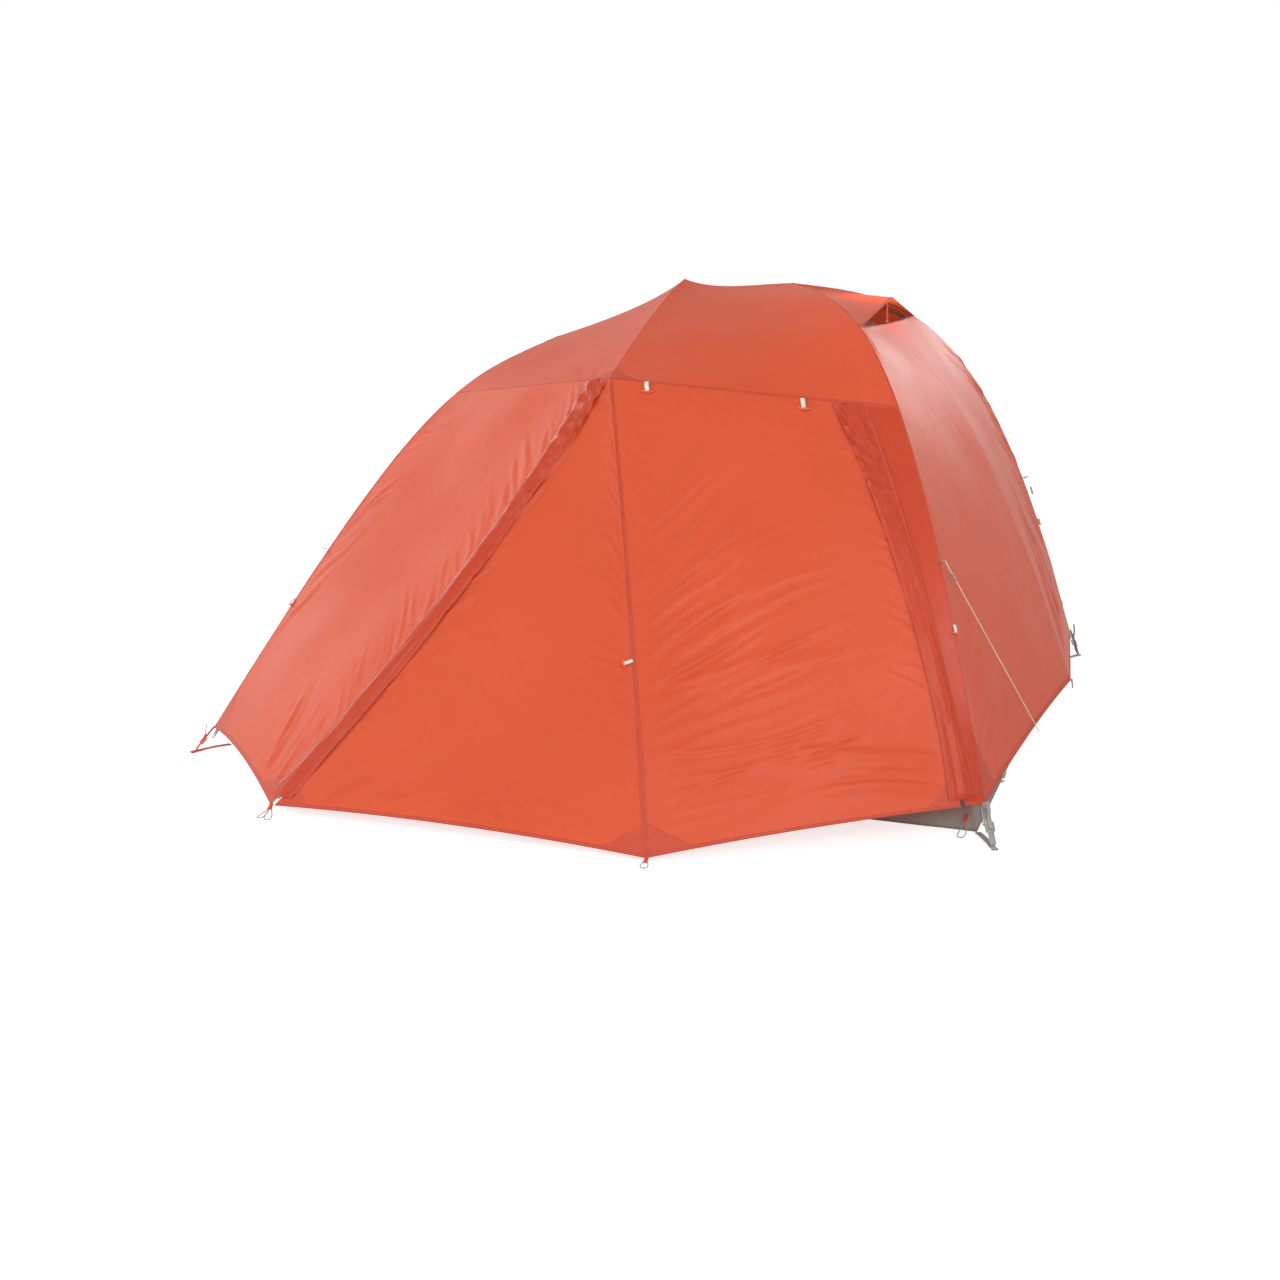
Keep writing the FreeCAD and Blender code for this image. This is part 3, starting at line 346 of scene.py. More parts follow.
# ---------------------------------------------------------------- mesh builder
class Cloth:
    """Collects grids of points into one mesh with a texture map in metres."""

    def __init__(self, name):
        self.name, self.points, self.faces, self.marks, self.maps = name, [], [], [], []
        self.grids, self.textures = [], []

    def add(self, grid, mark=0, texture=None, wrap=False):
        rows, columns = grid.shape[:2]
        first = sum(len(p) for p in self.points)
        self.points.append(grid.reshape(-1, 3))
        if texture is None:
            across = np.linalg.norm(np.diff(grid, axis=1), axis=-1).mean(0)
            down = np.linalg.norm(np.diff(grid, axis=0), axis=-1).mean(1)
            x = np.concatenate([[0], np.cumsum(across)])
            y = np.concatenate([[0], np.cumsum(down)])
            texture = np.stack(np.meshgrid(x, y), -1)
        self.grids.append(grid)
        self.textures.append(texture)
        i, j = np.meshgrid(np.arange(rows - 1), np.arange(columns - 1), indexing="ij")
        a = first + i * columns + j
        quads = np.stack([a, a + columns, a + columns + 1, a + 1], -1).reshape(-1, 4)
        local = np.stack([i * columns + j, (i + 1) * columns + j, (i + 1) * columns + j + 1,
                          i * columns + j + 1], -1).reshape(-1, 4)
        self.faces.append(quads)
        self.marks.append(np.full(len(quads), mark))
        self.maps.append(texture.reshape(-1, 2)[local.reshape(-1)])

    def build(self, materials, body, replaced=(), back=False):
        points = np.concatenate(self.points)
        faces = np.concatenate(self.faces)
        maps = np.concatenate(self.maps)
        if back:
            points = mirror(points)
            faces = faces[:, ::-1]
            maps = maps.reshape(-1, 4, 2)[:, ::-1].reshape(-1, 2)
        mesh = bpy.data.meshes.new(self.name)
        mesh.from_pydata(points.tolist(), [], faces.tolist())
        layer = mesh.uv_layers.new(name="metres")
        layer.data.foreach_set("uv", maps.reshape(-1))
        mesh.polygons.foreach_set("material_index", np.concatenate(self.marks))
        mesh.polygons.foreach_set("use_smooth", [True] * len(faces))
        for material in materials:
            mesh.materials.append(material)
        mesh.validate()
        piece = bpy.data.objects.new(self.name, mesh)
        bpy.context.collection.objects.link(piece)
        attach(piece, body)
        if replaced:
            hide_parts(*replaced)
        return piece


# ---------------------------------------------------------------- materials
class Shader:
    """Short helper for node materials: every call adds one node and returns it."""

    def __init__(self, name):
        self.material = bpy.data.materials.new(name)
        self.material.use_nodes = True
        self.tree = self.material.node_tree
        self.main = self.tree.nodes["Principled BSDF"]
        self.output = self.tree.nodes["Material Output"]

    def node(self, kind, settings=(), **links):
        made = self.tree.nodes.new(kind)
        for key, value in dict(settings).items():
            setattr(made, key, value)
        for key, value in links.items():
            self.put(made, key, value)
        return made

    def put(self, made, key, value):
        index = int(key[1:]) if key[0] == "i" and key[1:].isdigit() else key.replace("_", " ")
        socket = made.inputs[index]
        if isinstance(value, bpy.types.NodeSocket):
            self.tree.links.new(value, socket)
        else:
            socket.default_value = value

    def math(self, operation, a, b=0.0, clamp=False):
        return self.node("ShaderNodeMath", {"operation": operation, "use_clamp": clamp},
                         i0=a, i1=b).outputs[0]

    def noise(self, vector, scale, detail=3.0, rough=0.5):
        return self.node("ShaderNodeTexNoise", Vector=vector, Scale=scale, Detail=detail,
                         Roughness=rough).outputs["Fac"]

    def ramp(self, value, low, high, a, b):
        """Value mapped from low..high to a..b, held outside."""
        made = self.node("ShaderNodeMapRange", i0=value, i1=low, i2=high, i3=a, i4=b)
        return made.outputs[0]

    def colours(self, factor, a, b):
        made = self.node("ShaderNodeMix", {"data_type": "RGBA"})
        self.put(made, "i0", factor)
        self.put(made, "i6", (*a, 1) if isinstance(a, tuple) else a)
        self.put(made, "i7", (*b, 1) if isinstance(b, tuple) else b)
        return made.outputs[2]

    def bump(self, height, distance, strength=1.0, normal=None):
        made = self.node("ShaderNodeBump", Height=height, Distance=distance, Strength=strength)
        if normal is not None:
            self.put(made, "Normal", normal)
        return made.outputs[0]

    def place(self):
        return self.node("ShaderNodeTexCoord").outputs["Object"]

    def threads(self, pitch):
        """Height of a plain weave from the map in metres: two crossed sets of threads."""
        split = self.node("ShaderNodeSeparateXYZ",
                          Vector=self.node("ShaderNodeUVMap", {"uv_map": "metres"}).outputs[0])
        waves = [self.math("SINE", self.math("MULTIPLY", split.outputs[k], 2 * math.pi / pitch))
                 for k in (0, 1)]
        return self.math("MULTIPLY", waves[0], waves[1]), split

    def grid_lines(self, split, pitch, width):
        """1 on the heavier threads of ripstop cloth, 0 between them."""
        lines = []
        for k in (0, 1):
            folded = self.math("PINGPONG", split.outputs[k], pitch / 2)
            lines.append(self.ramp(folded, 0.0, width, 1.0, 0.0))
        return self.math("MAXIMUM", *lines)


def ripstop(name, light, dark, glow, thread=0.0011, rip=0.0055, roughness=(0.46, 0.56),
            through=0.20):
    """Thin coated ripstop nylon: fine weave, heavier grid threads, silky and a little see-through."""
    s = Shader(name)
    place = s.place()
    weave, split = s.threads(thread)
    rip_lines = s.grid_lines(split, rip, 0.0007)
    cloud = s.noise(place, 2.2, 2.0)
    speck = s.noise(place, 60.0, 3.0)
    shade = s.math("ADD", s.ramp(cloud, 0.3, 0.7, 0.15, 0.75), s.ramp(speck, 0.3, 0.7, 0.0, 0.2))
    shade = s.math("ADD", shade, s.math("MULTIPLY", rip_lines, 0.12), clamp=True)
    colour = s.colours(shade, light, dark)
    crease = s.noise(place, 26.0, 5.0, 0.6)
    height = s.math("ADD", s.math("MULTIPLY", weave, 0.25), s.math("MULTIPLY", rip_lines, 0.8))
    normal = s.bump(height, 0.00008, 0.6)
    normal = s.bump(crease, 0.0010, 0.20, normal)
    s.put(s.main, "Base Color", colour)
    s.put(s.main, "Roughness", s.ramp(cloud, 0.3, 0.7, *roughness))
    s.put(s.main, "Normal", normal)
    s.main.inputs["Sheen Weight"].default_value = 0.12
    s.main.inputs["Sheen Roughness"].default_value = 0.4
    s.main.inputs["Specular IOR Level"].default_value = 0.36
    behind = s.node("ShaderNodeBsdfTranslucent", Color=s.colours(shade, glow, dark))
    s.put(behind, "Normal", normal)
    mixed = s.node("ShaderNodeMixShader", i0=through, i1=s.main.outputs[0], i2=behind.outputs[0])
    s.put(s.output, "Surface", mixed.outputs[0])
    return s.material


def woven(name, light, dark, pitch=0.0016, roughness=0.75, slant=True, depth=0.00035):
    """Webbing, cord or tape: a slanted weave with painted shade in its hollows, paler tops and random
    darker patches of wear.
    """
    s = Shader(name)
    place = s.place()
    split = s.node("ShaderNodeSeparateXYZ", Vector=place)
    spread = s.math("ADD", split.outputs[0], split.outputs[2])
    other = s.math("SUBTRACT", split.outputs[1], split.outputs[2])
    if slant:
        spread, other = s.math("ADD", spread, other), s.math("SUBTRACT", spread, other)
    turns = 2 * math.pi / pitch
    weave = s.math("MULTIPLY", s.math("SINE", s.math("MULTIPLY", spread, turns)),
                   s.math("SINE", s.math("MULTIPLY", other, turns)))
    wear = s.noise(place, 45.0, 4.0)
    # painted shade: the weave's hollows are darkened from its height; the wear patches are real
    shade = s.math("ADD", s.ramp(weave, -1, 1, 0.55, 0.0), s.ramp(wear, 0.35, 0.65, 0.0, 0.45),
                   clamp=True)
    s.put(s.main, "Base Color", s.colours(shade, light, dark))
    s.put(s.main, "Roughness", s.ramp(wear, 0.3, 0.7, roughness - 0.08, roughness + 0.12))
    s.put(s.main, "Normal", s.bump(weave, depth, 0.8))
    s.main.inputs["Sheen Weight"].default_value = 0.25
    return s.material


def moulded(name, light, dark, roughness=0.42):
    """Moulded acetal: fine grain, scuffs and slightly paler wear."""
    s = Shader(name)
    place = s.place()
    grain, scuff = s.noise(place, 900.0, 2.0), s.noise(place, 70.0, 5.0, 0.65)
    s.put(s.main, "Base Color", s.colours(s.ramp(scuff, 0.35, 0.7, 0.0, 1.0), light, dark))
    s.put(s.main, "Roughness", s.ramp(scuff, 0.3, 0.7, roughness - 0.07, roughness + 0.2))
    s.put(s.main, "Normal", s.bump(s.math("ADD", grain, scuff), 0.00012, 0.5))
    return s.material


def anodised(name, light, dark, roughness=0.3):
    """Drawn and anodised tube: faint lengthwise streaks and handling marks."""
    s = Shader(name)
    place = s.place()
    stretched = s.node("ShaderNodeMapping", Vector=place, Scale=(4.0, 4.0, 220.0)).outputs[0]
    streak, mark = s.noise(stretched, 14.0, 4.0), s.noise(place, 38.0, 5.0, 0.7)
    s.put(s.main, "Base Color", s.colours(s.ramp(streak, 0.3, 0.7, 0.0, 1.0), light, dark))
    s.put(s.main, "Roughness", s.ramp(mark, 0.3, 0.7, roughness - 0.06, roughness + 0.16))
    s.put(s.main, "Normal", s.bump(streak, 0.00005, 0.5))
    s.main.inputs["Metallic"].default_value = 1.0
    return s.material


def seam_band(name, light, dark, stitches=(0.0024, 0.0076)):
    """Felled seam or hem: ripstop with two rows of lock stitch and the puckers that they pull."""
    s = Shader(name)
    place = s.place()
    weave, split = s.threads(0.0011)
    along, across = split.outputs[0], split.outputs[1]
    dash = s.ramp(s.math("PINGPONG", along, 0.0016), 0.0002, 0.0005, 0.0, 1.0)
    rows = None
    for y in stitches:
        near = s.ramp(s.math("ABSOLUTE", s.math("SUBTRACT", across, y)), 0.0003, 0.0006, 1.0, 0.0)
        rows = near if rows is None else s.math("MAXIMUM", rows, near)
    thread = s.math("MULTIPLY", rows, dash)
    cloud, speck = s.noise(place, 3.0, 2.0), s.noise(place, 120.0, 4.0)
    shade = s.math("ADD", s.ramp(cloud, 0.3, 0.7, 0.0, 0.6), s.ramp(speck, 0.3, 0.7, 0.0, 0.4),
                   clamp=True)
    colour = s.colours(shade, light, dark)
    s.put(s.main, "Base Color", s.colours(s.math("MULTIPLY", thread, 0.6), colour,
                                          (0.30, 0.035, 0.02)))
    s.put(s.main, "Roughness", s.ramp(speck, 0.3, 0.7, 0.48, 0.66))
    height = s.math("ADD", s.math("MULTIPLY", weave, 0.2), s.math("MULTIPLY", rows, -0.8))
    height = s.math("ADD", height, s.math("MULTIPLY", thread, 1.4))
    s.put(s.main, "Normal", s.bump(height, 0.0003, 0.7))
    return s.material


def zip_coil(name, light, dark, pitch=0.0015):
    """Closed nylon coil: rounded teeth across the zip with a thin line of painted shade between them.
    """
    s = Shader(name)
    weave, split = s.threads(pitch)
    tooth = s.math("SINE", s.math("MULTIPLY", split.outputs[1], 2 * math.pi / pitch))
    wear = s.noise(s.place(), 90.0, 4.0)
    # painted shade: the gaps between the teeth are darkened from the tooth wave; the wear patches are
    # real
    shade = s.math("ADD", s.ramp(tooth, -1, 0.2, 0.8, 0.0), s.ramp(wear, 0.4, 0.7, 0.0, 0.2),
                   clamp=True)
    s.put(s.main, "Base Color", s.colours(shade, light, dark))
    s.put(s.main, "Roughness", s.ramp(wear, 0.3, 0.7, 0.32, 0.5))
    s.put(s.main, "Normal", s.bump(tooth, 0.0005, 0.8))
    return s.material


def insect_mesh(name, light, dark):
    """Fine knitted mesh: see-through between its threads."""
    s = Shader(name)
    place = s.place()
    weave, split = s.threads(0.0024)
    cloud = s.noise(place, 5.0, 3.0)
    s.put(s.main, "Base Color", s.colours(s.ramp(cloud, 0.3, 0.7, 0.0, 1.0), light, dark))
    s.put(s.main, "Roughness", s.ramp(cloud, 0.3, 0.7, 0.65, 0.8))
    s.put(s.main, "Normal", s.bump(weave, 0.0003, 0.6))
    s.put(s.main, "Alpha", s.ramp(weave, -0.2, 0.25, 0.45, 0.85))
    return s.material


ORANGE, DEEP, GLOW = (0.79, 0.108, 0.036), (0.72, 0.090, 0.028), (0.96, 0.18, 0.05)
FLY = ripstop("fly_ripstop", ORANGE, DEEP, GLOW)
HOOD = ripstop("hood_ripstop", ORANGE, DEEP, GLOW, through=0.26)
SEAM = seam_band("fly_seam", (0.57, 0.064, 0.021), (0.50, 0.050, 0.016))
# painted shade: the storm flaps and the strip beside the right zip are the fly's own cloth, given
# darker colours for the shade on the double layer
SHADED_FLAP_CLOTH = ripstop("flap_ripstop_painted_shade", (0.66, 0.072, 0.024), (0.57, 0.054, 0.017), (0.80, 0.10, 0.03),
               roughness=(0.36, 0.46))
THREAD = woven("seam_thread", (0.60, 0.085, 0.04), (0.42, 0.045, 0.02), pitch=0.0009)
INNER = ripstop("inner_cloth", (0.70, 0.66, 0.60), (0.58, 0.54, 0.49), (0.8, 0.75, 0.68),
                roughness=(0.55, 0.7))
NETTING = insect_mesh("inner_netting", (0.42, 0.40, 0.38), (0.30, 0.29, 0.28))
FLOOR_CLOTH = ripstop("floor_cloth", (0.46, 0.385, 0.330), (0.37, 0.305, 0.260),
                      (0.2, 0.17, 0.15), roughness=(0.5, 0.62))
GREY_WEB = woven("grey_webbing", (0.50, 0.475, 0.44), (0.30, 0.285, 0.26))
ORANGE_WEB = woven("orange_webbing", (0.86, 0.075, 0.020), (0.60, 0.040, 0.012))
ZIP_TAPE = woven("zip_tape", (0.66, 0.075, 0.03), (0.45, 0.045, 0.018), pitch=0.0011)
ZIP_COIL = zip_coil("zip_coil", (0.55, 0.07, 0.03), (0.30, 0.03, 0.015))
CORD = woven("cream_cord", (0.96, 0.90, 0.76), (0.86, 0.78, 0.62), pitch=0.0017)
SHOCK_CORD = woven("shock_cord", (0.56, 0.36, 0.30), (0.34, 0.20, 0.16), pitch=0.0017)
GREY_PLASTIC = moulded("grey_acetal", (0.38, 0.37, 0.355), (0.26, 0.255, 0.245))
ORANGE_PLASTIC = moulded("orange_acetal", (0.88, 0.13, 0.03), (0.66, 0.08, 0.02))
POLE = anodised("pole_anodised", (0.50, 0.50, 0.52), (0.38, 0.38, 0.40))
FERRULE = anodised("ferrule_bare", (0.78, 0.78, 0.80), (0.64, 0.64, 0.66), 0.24)

for names, material in (
        ("leg_pole_front_left leg_pole_front_right leg_pole_back_left leg_pole_back_right "
         "ridge_pole brow_pole", POLE), ("pole_ferrules pole_tips", FERRULE),
        ("hub_left hub_right brow_swivel_hub pole_clips vent_strut tensioner_front "
         "tensioner_back", GREY_PLASTIC),
        ("buckle_front_right buckle_back_right", GREY_PLASTIC),
        ("buckle_front_left buckle_back_left", ORANGE_PLASTIC)):
    for node in names.split():
        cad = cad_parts[node].data
        cad.materials.clear()
        cad.materials.append(material)


# ---------------------------------------------------------------- fly pieces
STITCHED = 0.010               # map width of every seam band, so its stitch rows line up
HEM, FELL, EDGE = 0.012, 0.009, 0.007


def band(cloth, panel, side, width, lift=0.0009, inset=0.0, mark=1, span=(0, 1)):
    """Seam or hem band along a border: a low welt with its edges down on the cloth."""
    level = side in ("top", "bottom")
    along = np.linspace(*span, (panel.columns if level else panel.rows) + 1)
    across = np.linspace(0, 1, 9)
    a, s = np.meshgrid(along, (inset + across * width) / (panel.height if level else panel.width))
    if side in ("bottom", "right"):
        s = 1 - s
    u, v = (a, s) if level else (s, a)
    welt = np.array((0.02, 0.7, 1.0, 0.75, 0.95, 0.75, 1.0, 0.7, 0.02))[:, None]
    pucker = 1 + 0.35 * waves(3, panel.base(u, v), 0.020)
    run = along * (panel.width if level else panel.height)
    cloth.add(panel.surface(u, v, welt * lift * pucker), mark,
              np.stack(np.meshgrid(run, across * STITCHED), -1))


def patch(cloth, panel, corner, size, lift=0.0007):
    """Triangular reinforcement sewn over one corner of a panel; corner is its (u, v)."""
    a, b = np.meshgrid(np.linspace(0, 1, 9), np.linspace(0, 1, 9))
    u, v = a * (1 - b * 0.999) * size[0] / panel.width, b * size[1] / panel.height
    u, v = (1 - u if corner[0] else u), (1 - v if corner[1] else v)
    edge = np.minimum(1, np.minimum(1 - a, 1 - b) * 8 + 0.1)
    cloth.add(panel.surface(u, v, lift * edge), 1)


def area_of(panel):
    grid = panel.base(*panel.grid(24, 24))
    a, b = grid[1:, 1:] - grid[:-1, :-1], grid[1:, :-1] - grid[:-1, 1:]
    return float(np.linalg.norm(np.cross(a, b), axis=-1).sum() / 2)


def declare(panel):
    """Works out the flat size and area that a tensioned panel is cut to; the result is not kept."""
    middle = panel.base(np.full(41, 0.5), np.linspace(0, 1, 41))
    length = float(np.linalg.norm(np.diff(middle, axis=0), axis=1).sum()) * 1.01
    width = float(panel.width) * 1.01
    round(min(area_of(panel), width * length), 3)


def panel_piece(name, node, panel, bands, body="tent", back=False, patches=(),
                look=FLY):
    cloth = Cloth(name)
    cloth.add(panel.surface(*panel.grid()))
    for side, width, lift in bands:
        band(cloth, panel, side, width, lift)
    for corner, size in patches:
        patch(cloth, panel, corner, size)
    piece = cloth.build([look, SEAM], body, (node,), back)
    declare(panel)
    return piece


LOW_LEFT, LOW_RIGHT = (0, 1), (1, 1)
for back, side in ((False, "front"), (True, "back")):
    panel_piece(f"{side}_roof_left", f"fly_{side}_roof_left", roof_left,
                (("right", EDGE, 0.0010), ("bottom", FELL, 0.0011), ("left", EDGE, 0.0008)),
                back=back, patches=((LOW_RIGHT, (0.09, 0.07)),))
    panel_piece(f"{side}_roof_right", f"fly_{side}_roof_right", roof_right,
                (("bottom", FELL, 0.0011), ("right", EDGE, 0.0008)),
                back=back, patches=((LOW_LEFT, (0.09, 0.07)),))
    panel_piece(f"{side}_side", f"fly_{side}_side", side_panel,
                (("bottom", HEM, 0.0013), ("right", FELL, 0.0010), ("left", EDGE, 0.0008)),
                back=back, patches=((LOW_RIGHT, (0.13, 0.11)), (LOW_LEFT, (0.12, 0.12))))
    panel_piece(f"{side}_strip", f"fly_{side}_strip", strip_panel,
                (("bottom", HEM, 0.0013), ("left", FELL, 0.0010), ("right", EDGE, 0.0008)),
                back=back, look=SHADED_FLAP_CLOTH)
    panel_piece(f"{side}_door_left", f"door_{side}_left", door_left,
                (("bottom", HEM, 0.0013), ("right", FELL, 0.0013), ("left", EDGE, 0.0008)),
                body=f"{side}_door", back=back,
                patches=((LOW_RIGHT, (0.14, 0.10)), (LOW_LEFT, (0.10, 0.10))))
    panel_piece(f"{side}_door_right", f"door_{side}_right", door_right,
                (("bottom", HEM, 0.0013), ("left", FELL, 0.0013), ("right", EDGE, 0.0008)),
                body=f"{side}_door", back=back,
                patches=((LOW_LEFT, (0.14, 0.10)), (LOW_RIGHT, (0.10, 0.12))))
panel_piece("end_panel_left", "fly_end_left", end_left, (("bottom", HEM, 0.0013),),
            patches=((LOW_LEFT, (0.12, 0.12)), (LOW_RIGHT, (0.12, 0.12))))
panel_piece("end_panel_right", "fly_end_right", end_right,
            (("bottom", HEM, 0.0013), ("top", FELL, 0.0010)),
            patches=((LOW_LEFT, (0.12, 0.12)), (LOW_RIGHT, (0.12, 0.12))))
panel_piece("vent_hood_cloth", "vent_hood", hood, (("bottom", FELL, 0.0015),),
            look=HOOD)


# ---------------------------------------------------------------- storm flaps and zips
FLAP_FROM, FLAP_TO = 0.004, 0.982
FLAP_FIXED, FLAP_DOOR = 0.036, 0.024
ZIP_CREST = 0.0095


def step_off(panel, side, distance):
    """u at a distance from a panel's left or right border, for many rows at once."""
    return lambda v: (lambda share: share if side == "left" else 1 - share)(
        distance / np.linalg.norm(panel.right(v) - panel.left(v), axis=-1))


def flap(name, fixed, fixed_side, door, door_side, seed, body, back):
    """Storm flap sewn to the door's edge panel, arched over the zip, its free edge crinkled."""
    rows = int(fixed.height / 0.0045)
    v = np.linspace(FLAP_FROM, FLAP_TO, rows)
    widen = 1 + 0.60 * np.exp(-v / 0.09) + 0.45 * np.exp(-(1 - v) / 0.06)
    lines, offsets = [], []
    for s in np.linspace(1, 0, 15):
        u = step_off(fixed, fixed_side, FLAP_FIXED * widen * s + 0.0002)(v)
        lines.append((fixed.surface(u, v), fixed.normal(u, v)))
        offsets.append(-s)
    for s in np.linspace(0, 1, 11)[1:]:
        u = step_off(door, door_side, (FLAP_DOOR * widen * s - 0 * v))(v)
        lines.append((door.surface(u, v), door.normal(u, v)))
        offsets.append(s)
    points = np.stack([line_[0] for line_ in lines], 1)
    normals = np.stack([line_[1] for line_ in lines], 1)
    s = np.array(offsets)[None, :]
    arch = np.where(s < 0, ZIP_CREST * np.clip((1 + s) * 1.6, 0, 1) + 0.0016,
                    ZIP_CREST * (1 - 0.55 * s))
    loose = np.clip((s + 1.1) / 1.2, 0, 1)
    aside, down = np.where(s < 0, FLAP_FIXED, FLAP_DOOR) * s * widen[:, None], v[:, None] * fixed.height
    place = lambda stretch: np.stack([aside, down * stretch + 0 * aside, 0 * aside], -1)
    long_wave = waves(seed, place(0.30), 0.10) * 0.0012
    creased = lambda k, stretch, size: 1 - 2 * np.abs(np.sin(waves(seed + k, place(stretch), size)))
    near_top = np.exp(-(v / 0.30) ** 2)[:, None]
    crinkle = (creased(1, 0.13, 0.030) * 0.0022 + creased(2, 0.45, 0.034) * 0.0060 * near_top
               + creased(3, 0.30, 0.030) * 0.0014 * np.exp(-(1 - v) / 0.12)[:, None])
    lift = np.maximum(arch + loose * (long_wave + crinkle), 0.0012)
    ends = np.clip(np.minimum(v - FLAP_FROM, FLAP_TO - v) / 0.012, 0, 1)[:, None]
    lift = lift * (0.55 + 0.45 * ends)
    sheet = points + normals * lift[..., None]
    run = np.concatenate([[0], np.cumsum(np.linalg.norm(np.diff(sheet[:, 14], axis=0), axis=1))])
    wide = np.linspace(0, FLAP_FIXED + FLAP_DOOR, sheet.shape[1])
    cloth = Cloth(name)
    cloth.add(sheet, 0, np.stack(np.meshgrid(wide, run), -1))
    for columns in ((0, 4), (20, 25)):
        part = sheet[:, slice(*columns)]
        part = part[:, :1] + (part[:, -1:] - part[:, :1]) * np.linspace(0, 1, 5)[None, :, None]
        rise = np.array((0.05, 0.9, 0.7, 0.9, 0.05))[None, :, None] * 0.0010
        cloth.add(part + normals[:, :1] * rise, 1,
                  np.stack(np.meshgrid(np.linspace(0, STITCHED, 5), run), -1)[..., ::-1])
    piece = cloth.build([SHADED_FLAP_CLOTH, SEAM], body, (), back)
    return piece


def zipper(cloth, zip_line, panel, side):
    """Tape along a zip's fixed border with the raised row of closed coil on its middle."""
    v = np.linspace(0.004, 0.985, 260)
    toward_door = unit(middle_seam(v) - zip_line(v))
    base, normal = zip_line(v), panel.normal(np.full_like(v, 0.0 if side == "left" else 1.0), v)
    tape_profile = ((-0.008, 0.0004), (0.0008, -0.0006), (0.0026, -0.0005), (0.0076, -0.0006))
    coil_profile = ((0.0026, -0.0004), (0.0030, 0.0012), (0.0040, 0.0018), (0.0051, 0.0018),
                    (0.0062, 0.0012), (0.0066, -0.0004))
    run = v * panel.height
    for mark, profile in ((0, tape_profile), (1, coil_profile)):
        across = np.array(profile)
        grid = (base[:, None] + toward_door[:, None] * across[None, :, :1]
                + normal[:, None] * across[None, :, 1:])
        cloth.add(grid, mark, np.stack(np.meshgrid(across[:, 0], run), -1))


for back, side in ((False, "front"), (True, "back")):
    body = f"{side}_door"
    left = flap(f"{side}_flap_left", side_panel, "right", door_left, "left", 300, body, back)
    right = flap(f"{side}_flap_right", strip_panel, "left", door_right, "right", 320, body, back)
    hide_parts(f"door_{side}_flaps")
    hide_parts(f"door_{side}_flaps")


# ---------------------------------------------------------------- swept pieces
def through(points, steps=8):
    """Smooth line through the given points."""
    p = np.asarray(points, float)
    p = np.vstack([2 * p[0] - p[1], p, 2 * p[-1] - p[-2]])
    t = np.linspace(0, 1, steps, endpoint=False)[:, None]
    runs = [0.5 * (2 * b + (c - a) * t + (2 * a - 5 * b + 4 * c - d) * t ** 2
                   + (3 * b - a - 3 * c + d) * t ** 3)
            for a, b, c, d in zip(p, p[1:], p[2:], p[3:])]
    return np.vstack(runs + [p[-2:-1]])


def section(width, thick, square=2.0, sides=16):
    """Closed outline: 2 is an ellipse, and higher numbers are squarer."""
    t = np.linspace(0, 2 * math.pi, sides + 1)
    c, s = np.cos(t), np.sin(t)
    return np.stack([np.sign(c) * np.abs(c) ** (2 / square) * width / 2,
                     np.sign(s) * np.abs(s) ** (2 / square) * thick / 2], -1)


def sweep(cloth, path, outline, up, mark=0, ring=False, sizes=None):
    """Sweeps a closed outline along a path, its x across the path and its y towards up."""
    path = np.asarray(path, float)
    tangent = unit(np.roll(path, -1, 0) - np.roll(path, 1, 0) if ring
                   else np.gradient(path, axis=0))
    side = unit(np.cross(tangent, np.broadcast_to(np.asarray(up, float), path.shape)))
    rise = np.cross(side, tangent)
    size = np.ones(len(path)) if sizes is None else np.asarray(sizes, float)
    if ring:
        path, side, rise, size = (np.concatenate([a, a[:1]]) for a in (path, side, rise, size))
    else:
        end = 0.35 * min(np.ptp(outline[:, 0]), np.ptp(outline[:, 1]))
        first, last = path[:1] - tangent[:1] * end, path[-1:] + tangent[-1:] * end
        path = np.concatenate([first, path, last])
        side, rise = (np.concatenate([a[:1], a, a[-1:]]) for a in (side, rise))
        size = np.concatenate([size[:1] * 0.05, size, size[-1:] * 0.05])
    rings = (path[:, None] + side[:, None] * (outline[None, :, :1] * size[:, None, None])
             + rise[:, None] * (outline[None, :, 1:] * size[:, None, None]))
    cloth.add(rings, mark)


WEB_WIDTH, WEB_THICK = 0.020, 0.0017
WEBBING = section(WEB_WIDTH, WEB_THICK, 6.0)
CORD_SECTION = section(0.0027, 0.0027)
DOWN = np.array((0, 0, -1.0))


same = lambda p: np.asarray(p, float)


def both(add):
    """Runs add for the front and the mirrored back, into one piece."""
    for flip in (same, mirror):
        add(flip)


# corner webbing, its tail and its ladder buckle
STAKE = np.array((1.229, 1.099, 0.0045))
TUB_CORNER = np.array((1.170, 0.990, 0.0))
corners = {}
for end, hem, sign in (("right", HEM_RIGHT, 1), ("left", HEM_LEFT, -1)):
    outward = unit(np.array((hem[0], hem[1], 0)))
    top = hem + outward * 0.006 + DOWN * 0.004
    foot = STAKE * (sign, -1, 1)
    direction = unit(foot - top)
    across = unit(np.array((-direction[1], direction[0], 0)) if abs(direction[2]) < 0.2
                  else np.array((hem[1], -hem[0], 0)))
    corners[end] = dict(top=top, foot=foot, direction=direction, across=across,
                        out=unit(np.cross(across, direction)) * (1 if np.dot(
                            np.cross(across, direction), outward) > 0 else -1),
                        middle=(top + foot) / 2, length=float(np.linalg.norm(foot - top)))


